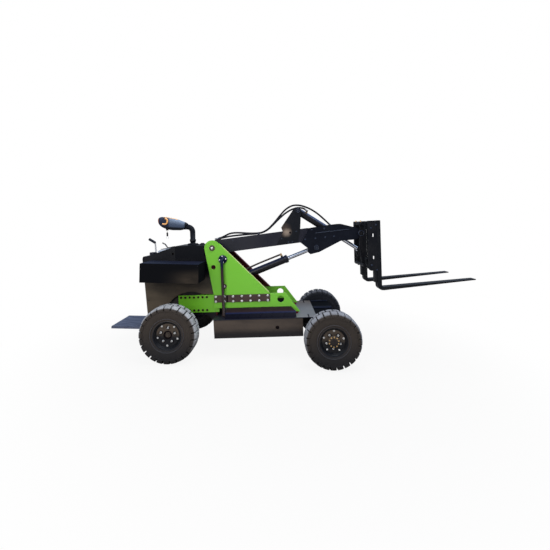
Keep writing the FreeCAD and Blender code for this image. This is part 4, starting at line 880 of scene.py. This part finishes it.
grown("pipe_skin", "hydraulic_pipe", 0.0035)
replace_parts(piece("pipe_skin", "pipe_paint"), "hydraulic_pipe")

# -------- housing and console
# Folded sheet-steel housing in black gloss, its lower flank warm with dust and a painted
# reflection of the ground, with a sloping console on top and a closed box on each flank.
CONSOLE_SLOPE, CONSOLE_TOP = 0.338, 1.1852      # the lid's rise, and its height over the axle
flank_finish("housing_paint", (4.5, 4.8, 6.8), (100, 77, 52), (0.2, 0.3), (0.66, 0.88), 1, 0.16)


@finish("box_paint", 0)
def box_finish(shader, place):
    """Near-black gloss, duller front ends, a warm film low down of dust and painted ground reflection, and lids
    tinted with a painted sky reflection.
    """
    x, z = square(place)
    ends = place.facing.x.over(0.5, 0.8)
    cloud = place.noise(5, 3, (1, 1, 2.2)).over(0.3, 0.7)
    # The warm film is dust and a painted reflection of the ground, kept off the front ends.
    warm = x.over(-0.12, 0.24) * z.under(0.82, 0.96) * (cloud * 0.5 + 0.5)
    film = warm * (1 - ends)
    # Painted reflection: faces that look up are tinted sky blue.
    lid = place.facing.z.over(0.5, 0.8)
    black = lid.mixed((6.6, 6.8, 8), (8.5, 9, 13.5))
    feed(shader, film.mixed(black, (50, 39, 29)), ends * 0.35 + 0.28, place.peel(240))


@finish("console_paint", 0.22)
def console_finish(shader, place):
    """Console paint, with a painted pale blue-grey reflection on the sloping instrument panel."""
    x, z = square(place)
    slope = z - x * CONSOLE_SLOPE - CONSOLE_TOP
    out = abs(place.y)
    # Painted reflection: the sloping panel's top shows pale blue-grey.
    panel_reflection = slope.over(0.0016, 0.0026) * out.under(0.1305, 0.1315)
    panel_reflection = panel_reflection * x.over(-0.262, -0.258) * x.under(-0.106, -0.104)
    cloud = place.noise(6, 3)
    dark = cloud.mixed((4.5, 4.8, 6.8), (8, 8, 10))
    feed(shader, panel_reflection.mixed(dark, (500, 540, 620)), cloud * 0.15 + 0.26, place.peel(240))


dress(["housing"], "housing_paint")
dress(["console"], "console_paint")
dress(["side_boxes"], "box_paint")

CONSOLE_HOLE = (-0.061, 1.086, 0.1616)
FLANK_OUT, BOX_OUT = 0.181, 0.47
HATCH_BOLTS = ((-0.352, 0.56), (-0.342, 0.395))
box_frame = shifted(chassis, -0.008, 0, 0.903) @ turned(2.8, "Y")
for side in BOTH:
    # A dark disc in each console hole: painted shade.
    bar("console_hole_shades", at_side(side, *CONSOLE_HOLE), 0.0128, 0.0012, 28)
    for x, z in HATCH_BOLTS:
        bolt("hatch_bolts", at_side(side, x, z, FLANK_OUT), 0.006, 1.2, 0.5)
    for x in (-0.298, 0.298):
        bolt("hatch_bolts", at_side(side, x, 0.085, BOX_OUT, box_frame), 0.0045, 1.2, 0.5)
    # Each box's lid: near-black with a painted blue sky reflection.
    block("box_lids", shifted(box_frame, 0, side * 0.326, 0.1015), (0.612, 0.278, 0.003), 0.001)
piece("console_hole_shades", "painted_shade_black", smooth=False)
piece("hatch_bolts", "frame_paint")
piece("box_lids", "painted_sky_reflection_blue")

panel_frame = shifted(chassis, -0.176, 0, 1.1405) @ Matrix.Rotation(-0.135, 4, "Y")
for out in (-0.082, 0, 0.082):
    at = shifted(panel_frame, -0.03, out, 0.004)
    ring("gauge_rings", at, 0.027, 0.0035, 36)
    bar("gauge_faces", at, 0.0265, 0.004, 36)
for number in range(5):
    at = shifted(panel_frame, 0.036, -0.096 + 0.048 * number, 0.006)
    bar("panel_knobs", at, 0.0085, 0.016, 20, 0.0075)
paint_finish("rubber_black", (8, 8, 10), (16, 16, 17), 0.5, 0.25, 0.5, 20)
piece("gauge_rings", "rubber_black")
paint_finish("gauge_face", (550, 560, 580), (480, 490, 500), 0.5, 0.4, 0.3)
piece("gauge_faces", "gauge_face")
piece("panel_knobs", "rubber_black")

filler = shifted(chassis, 0.236, 0, 1.175)
bar("filler_cap", lifted(filler, 0.005), 0.03, 0.01, 32)
bar("filler_cap", lifted(filler, 0.013), 0.024, 0.012, 12, 0.021)
piece("filler_cap", "rubber_black")

# -------- platform
# Foot plate in slate paint, worn in streaks along the step.


@finish("slate_paint", 0.35)
def slate_finish(shader, place):
    """Slate-blue paint with darker streaks across the step and pale worn specks."""
    streak = place.noise(22, 5, (0.35, 1.6, 1)).over(0.35, 0.68)
    speck = place.noise(120, 3).over(0.6, 0.75)
    slate = (streak * 0.8).mixed((105, 118, 175), (60, 68, 105))
    feed(shader, (speck * 0.3).mixed(slate, (160, 170, 220)),
         streak * 0.2 + 0.38, (streak + speck).bumped(0.0003, 0.6))


dress(["platform"], "slate_paint")

# -------- control post and levers
# Bent tube in black paint, clamped in a bolted foot; plated hand levers with black grips.
grown("post_skin", "control_post", 0.0032)
paint_finish("post_paint", (6, 7, 11), (18, 18, 21), 0.5, 0.08, 0.55, 8)
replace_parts(piece("post_skin", "post_paint"), "control_post")
POST_RING, FOOT_TOP, COLLAR_RISE = 0.05, 0.0135, 0.052
post = shifted(chassis, 0.122, 0, 1.175)
for at in circle(post, 6, POST_RING, FOOT_TOP, 30):
    bolt("post_bolts", at, 0.0065, 1.2, 0.8)
collar = lifted(post, COLLAR_RISE)
for out in (-0.006, 0.006):
    block("post_bolts", shifted(collar, out, -0.04, 0), (0.008, 0.02, 0.022), 0.001)
bar("post_bolts", shifted(collar, 0, -0.042, 0) @ ALONG, 0.004, 0.034, 12)
piece("post_bolts", "frame_paint")


@finish("lever_plating", 0.3)
def lever_finish(shader, place):
    """Plated levers; the grip and the valve block are black."""
    x, z = square(place)
    grip = z.over(1.206, 1.208) * x.under(-0.314, -0.31)
    body = z.under(1.0995, 1.1005) * x.under(-0.305, -0.301)
    black = (grip + body).over(0, 1)
    cloud = place.noise(60, 3)
    small = x.over(-0.262, -0.258)
    plated = small.mixed((470, 450, 440), (120, 112, 112))
    feed(shader, black.mixed(plated, (8, 9, 18)), cloud * 0.15 + 0.48, metallic=(1 - black) * 0.1)


grown("lever_skins", "control_levers", 0.0028)
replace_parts(piece("lever_skins", "lever_plating"), "control_levers")


@finish("pod_plastic", 0.12)
def pod_finish(shader, place):
    """Slate plastic, lighter on its upper part as a painted sky highlight: dark belly, black nose, rust-orange rim
    behind.
    """
    x, z = square(place)
    belly = (z + x * 0.1).under(1.372, 1.396)
    rim = x.under(-0.262, -0.254)
    nose = x.over(0.036, 0.044)
    across = abs(place.y)
    cloud = place.noise(7, 1, (0.6, 1, 1.4)).over(0.3, 0.7)
    # Painted highlight: the upper part of the pod goes pale sky blue.
    upper = (z + x * 0.21).over(1.405, 1.47)
    slate = upper.mixed((60, 80, 125), (190, 232, 300))
    slate = (cloud * 0.35).mixed(slate, (70, 95, 145))
    rear = x.under(-0.15, -0.125)
    slate = (rear * 0.9).mixed(slate, (12, 17, 38))
    slate = belly.mixed(slate, (14, 15, 19))
    slate = nose.mixed(slate, (6, 7, 10))
    stripe = (z + x * 0.21).over(1.464, 1.47) * across.under(0.036, 0.042)
    stripe = stripe * x.over(-0.222, -0.214) * x.under(-0.06, -0.04)
    slate = stripe.mixed(slate, (900, 470, 170))
    feed(shader, rim.mixed(slate, (300, 70, 25)), cloud * 0.12 + 0.5)


dress(["control_pod"], "pod_plastic")
POD_RING = (-0.184, 1.466, 0.083)
for side in BOTH:
    at = at_side(side, *POD_RING)
    ring("pod_rings", at, 0.035, 0.01, 40, 10, -75 if side > 0 else -130, 205)
key_place = shifted(chassis, -0.166, -0.05, 1.372)
bar("key_head", key_place, 0.014, 0.03, 24)
block("key_blade", lifted(key_place, -0.026), (0.009, 0.002, 0.03), 0.0005)
block("key_head", lifted(key_place, -0.062), (0.02, 0.006, 0.044), 0.002)
ring("key_blade", lifted(key_place, -0.099) @ ACROSS, 0.013, 0.0011, 28, 6)
paint_finish("orange_plastic", (900, 420, 120), (950, 550, 250), 0.6, 0.4, 0.34, 12)
piece("pod_rings", "orange_plastic")
piece("key_head", "rubber_black")
piece("key_blade", "bright_zinc")

# -------- boom
# Box beam in blue-black satin with darker nose plates welded over its end, a painted pale
# reflection in a warm halo on the raised bracket, bolts, the bracket's hole painted dark as
# shade, and dull steel pin heads.


def boom_spot(place, x, z):
    """Distance on the boom's flank from a point of its frame."""
    return place.beside(boom @ Vector((x, 0, z))).radius()


@finish("bracket_paint", 0.25)
def bracket_finish(shader, place):
    """Nose paint with warm dust and a painted reflection: a pale glint round one spot inside a warm halo."""
    cloud = place.noise(18, 4)
    # A warm halo of dust and painted reflection round one spot, and a pale painted glint within it.
    dust_and_glint_halo = (boom_spot(place, 0.845, 0.095) + cloud * 0.05).under(0.065, 0.13)
    painted_glint = (boom_spot(place, 0.872, 0.062) + cloud * 0.03).under(0.02, 0.085)
    colour = (dust_and_glint_halo * 0.8).mixed((3.5, 4.2, 7), (60, 42, 32))
    feed(shader, (painted_glint * 0.85).mixed(colour, (340, 255, 195)), cloud * 0.15 + 0.34)


paint_finish("boom_paint", (12, 12, 20), (22, 21, 27), 0.6, 0.25, 0.36)
dress(["boom_beam"], "boom_paint")

BEAM_OUT, NOSE_OUT = 0.065, 0.077
NOSE_OUTLINE = (
    (1.023, -0.084), (1.138, 0.074, 0.006), (1.329, 0.083, 0.014), (1.511, 0.081, 0.014),
    (1.663, 0.022, 0.014), (1.779, -0.032, 0.022), (1.779, -0.106, 0.022), (1.644, -0.128, 0.014),
    (1.496, -0.12, 0.014), (1.222, -0.22, 0.014), (1.116, -0.232, 0.006), (1.086, -0.197),
    (1.106, -0.168))
BRACKET_OUTLINE = (
    (0.742, -0.06), (0.829, 0.072), (0.815, 0.126, 0.006), (1.001, 0.338, 0.02),
    (1.077, 0.32, 0.02), (1.037, 0.088, 0.012), (0.981, -0.077, 0.006))
for low, high in ((-NOSE_OUT, -BEAM_OUT), (BEAM_OUT, NOSE_OUT)):
    profile_plate("nose_skins", boom, NOSE_OUTLINE, low, high)
    profile_plate("bracket_skins", boom, BRACKET_OUTLINE, low, high)
bar("nose_skins", shifted(boom, 1.735, 0, -0.062) @ ACROSS, 0.04, 0.166, 40)
bar("bracket_skins", shifted(boom, 1.037, 0, 0.3) @ ACROSS, 0.016, 0.166, 32)
for side in BOTH:
    bar("nose_skins", shifted(boom, 1.196, side * 0.0605, -0.161) @ ACROSS, 0.02, 0.049, 32)
paint_finish("nose_paint", (2.5, 3.5, 8), (8, 10, 18), 0.5, 0.25, 0.3)
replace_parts(piece("nose_skins", "nose_paint", "boom"), "nose_plates")
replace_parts(piece("bracket_skins", "bracket_paint", "boom"), "dorsal_plates")
BEAM_BOLTS = ((0.141, 0.056), (0.223, 0.05), (0.303, 0.05))
BRACKET_BOLTS = ((0.983, 0.058), (0.876, -0.056), (0.921, -0.062), (0.8, -0.005))
NOSE_BOLTS = (
    (1.077, -0.05), (1.199, -0.053), (1.315, -0.056), (1.169, 0.053), (1.318, 0.046),
    (1.42, -0.057))
NOSE_WELD = ((1.205, 0.01), (1.607, 0.003))
BRACKET_HOLE = (0.911, 0.054)
BOOM_PINS = ((1.196, -0.161, 0.085, 0.019), (1.037, 0.3, 0.083, 0.0155),
             (1.735, -0.062, 0.083, 0.019))     # lift, tilt and carriage pins
for side in BOTH:
    for spots, out, *sizes in ((BEAM_BOLTS, BEAM_OUT, 0.005, 1.2, 0.5),
                               (BRACKET_BOLTS, NOSE_OUT, 0.007, 1.25, 0.6),
                               (NOSE_BOLTS, NOSE_OUT, 0.0085, 1.35, 0.7)):
        for x, z in spots:
            bolt("boom_bolts", at_side(side, x, z, out, boom), *sizes)
    # A dark disc in each bracket hole: painted shade.
    bar("boom_hole_shades", at_side(side, *BRACKET_HOLE, NOSE_OUT + 0.0006, boom), 0.012, 0.0012)
    for x, z, out, radius in BOOM_PINS:
        at = at_side(side, x, z, out, boom)
        bar("boom_pin_heads", lifted(at, 0.0022), radius, 0.0044, 32, radius - 0.002)
        ring("boom_bolts", at, radius + 0.007, 0.0038, 32)
    (x0, z0), (x1, z1) = NOSE_WELD
    for shares, drop in (((0, 0.33, 0.67, 1), 0), ((0, 0.33), 0.01)):
        tube("boom_welds", [boom @ Vector((x0 + (x1 - x0) * t, side * NOSE_OUT,
                                           z0 + (z1 - z0) * t - drop * t)) for t in shares],
             0.0035, 8)
paint_finish("weld_paint", (16, 22, 42), (30, 38, 60), 0.5, 0.35, 0.32, 40)
piece("boom_bolts", "weld_paint", "boom")
piece("boom_hole_shades", "painted_shade_black", "boom", smooth=False)
piece("boom_welds", "weld_paint", "boom")
metal_finish("dull_pin", (50, 56, 78), 0.45, 0.3)
piece("boom_pin_heads", "dull_pin", "boom")

# -------- cylinders
# Black barrels with a painted blue sky reflection along their tops, polished rods, and brass on the ports.


def barrel_finish(name, pins, line_colour, sky_colour):
    """Black gloss with a painted blue sky reflection along the top; the line on it has its own colour."""
    shader, place = blank_finish(name, 0.2)
    # Painted reflection: faces that look up take the sky colour.
    up = place.facing.z.over(0.15, 0.95)
    up_x, _, up_z, start = between(*pins).inverted()[2]
    height = place.x * up_x + place.z * up_z + start
    line = height.over(0.0495, 0.0505)
    cloud = place.noise(14, 4)
    black = cloud.mixed((6, 6, 10), (16, 14, 16))
    colour = (up * 0.9).mixed(black, sky_colour)
    feed(shader, line.mixed(colour, line_colour), cloud * 0.12 + 0.26)


barrel_finish("lift_paint", LIFT_PINS, (30, 20, 17), (10, 15, 48))
barrel_finish("tilt_paint", TILT_PINS, (10, 10, 12), (26, 56, 150))
dress(["lift_barrel"], "lift_paint")
dress(["tilt_barrel"], "tilt_paint")
metal_finish("rod_chrome", (740, 750, 800), 0.1, 0.15)
dress(["lift_rod", "tilt_rod"], "rod_chrome")
BARREL_R = 0.047
cylinders = {"lift": (between(*LIFT_PINS), 0.79, 0.024), "tilt": (between(*TILT_PINS), 0.56, 0.022)}
for name, (barrel, mouth, rod_radius) in cylinders.items():
    gland, wiper = name + "_gland_rings", name + "_wiper"
    for along in (-0.031, -0.005):
        ring(gland, shifted(barrel, mouth + along, 0, 0) @ ALONG, BARREL_R, 0.0022, 40)
    ring(wiper, shifted(barrel, mouth + 0.002, 0, 0) @ ALONG, rod_radius + 0.004, 0.0036, 36)
    piece(gland, "weld_paint", name + "_barrel")
    piece(wiper, "rubber_black", name + "_barrel")
lift_frame, tilt_frame = cylinders["lift"][0], cylinders["tilt"][0]
BRASS = ((0.732, 0.0635, 0.0135, 0.011, 6), (0.12, 0.0605, 0.0135, 0.008, 6),
         (0.732, 0.0885, 0.0085, 0.004, 12, 0.006))     # along, height, sizes of the bar
for along, height, *sizes in BRASS:
    bar("lift_brass", shifted(lift_frame, along, 0, height), *sizes)
bar("lift_brass", shifted(lift_frame, 0.735, 0, 0.078) @ ALONG, 0.0125, 0.018, 6)
metal_finish("brass", (780, 550, 300), 0.34, 0.2)
piece("lift_brass", "brass", "lift_barrel")
SLEEVE_RUN = ((0.128, 0.063), (0.19, 0.066), (0.31, 0.071), (0.442, 0.076), (0.58, 0.0765),
              (0.72, 0.076))
tube("line_sleeve", [lift_frame @ Vector((x, 0, z)) for x, z in SLEEVE_RUN], 0.0105, 14)
paint_finish("sleeve_rubber", (40, 28, 24), (66, 48, 42), 0.6, 0.2, 0.5, 14)
piece("line_sleeve", "sleeve_rubber", "lift_barrel")
port_from = tilt_frame @ Vector((0.098, -0.02, 0.024))
port_run = tilt_frame @ Vector((0.098, -0.047, 0.053)) - port_from
bar("tilt_port", aimed(port_from + port_run / 2, port_run), 0.012, port_run.length)
piece("tilt_port", "brass", "tilt_barrel")

# -------- carriage and forks
# Black satin steel under a faint cloudy film of dark grey, with scuffs.
paint_finish("carriage_paint", (4, 4.3, 6.5), (12, 11, 12), 0.5, 0.22, 0.42, 7)
dress(["tool_carrier", "fork_frame"], "carriage_paint")
paint_finish("fork_paint", (4.5, 5, 7), (14, 13, 13), 0.5, 0.22, 0.46, 9)
dress(["fork_" + side for side in SIDES], "fork_paint")

FRAME_OUT, EAR_OUT = 0.31, 0.111
FRAME_BOLTS = ((0.107, 0.0945), (0.105, -0.405), (0.05, 0.06), (0.05, -0.35))
GREASE_TOP, FORK_BACK = (-0.003, 0.1025, 0.136), (0.1, 0.262, -0.474)
for side in BOTH:
    for x, z in FRAME_BOLTS:
        bolt("carriage_bolts", at_side(side, x, z, FRAME_OUT, carriage), 0.0085, 1.3, 0.6)
    ring("carriage_bolts", at_side(side, 0, 0, EAR_OUT, carriage), 0.03, 0.0045, 36)
    x, y, z = GREASE_TOP
    bolt("grease_bolts", shifted(carriage, x, side * y, z), 0.0085, 1.3, 1.4)
    x, y, z = FORK_BACK
    block("fork_backs", shifted(carriage, x, side * y, z), (0.026, 0.086, 0.147), 0.004)
piece("carriage_bolts", "weld_paint", "carriage")
piece("grease_bolts", "brass", "carriage")
piece("fork_backs", "fork_paint", "carriage")

# -------- hoses
# Smooth black rubber hoses along the boom, held by a clamp, with crimped steel ends.
HOSE_R = 0.0106
grown("hose_covers", "boom_hoses", 0.0016)
HOSE_END = ((1.378, 0.05, 0.123), (1.393, 0.0505, 0.105), (1.406, 0.052, 0.089),
            (1.416, 0.053, 0.072))
tube("hose_covers", [boom @ Vector(point) for point in HOSE_END], HOSE_R, 16)
block("hose_covers", shifted(boom, 1.418, 0.053, 0.062), (0.028, 0.028, 0.028), 0.002)
paint_finish("hose_rubber", (7, 7, 10), (16, 15, 16), 0.5, 0.12, 0.55, 20)
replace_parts(piece("hose_covers", "hose_rubber", "boom"), "boom_hoses")

CLAMPS = ((0.534, 0.088), (0.06, 0.094))
for x, z in CLAMPS:
    block("hose_clamps", shifted(boom, x, 0, z), (0.018, 0.086, 0.022), 0.003)
    bolt("hose_clamps", shifted(boom, x, 0, z + 0.011), 0.006, 1.2, 0.7)
piece("hose_clamps", "weld_paint", "boom")
CRIMPS = (((1.146, -0.048, 0.284), (1.105, -0.048, 0.322)),
          ((1.4165, 0.053, 0.076), (1.4015, 0.0515, 0.095)),
          ((0.02, 0.024, 0.09), (0.1, 0.024, 0.106)),
          ((0.02, -0.024, 0.09), (0.105, -0.024, 0.097)))       # where from, where to
for start, toward in CRIMPS:
    start = boom @ Vector(start)
    place = aimed(start, boom @ Vector(toward) - start)
    bar("hose_ends", lifted(place, 0.016), 0.0115, 0.034, 20)
    bar("hose_ends", lifted(place, -0.004), 0.013, 0.014, 6)
metal_finish("fitting_steel", (200, 200, 210), 0.42, 0.3)
piece("hose_ends", "fitting_steel", "boom")
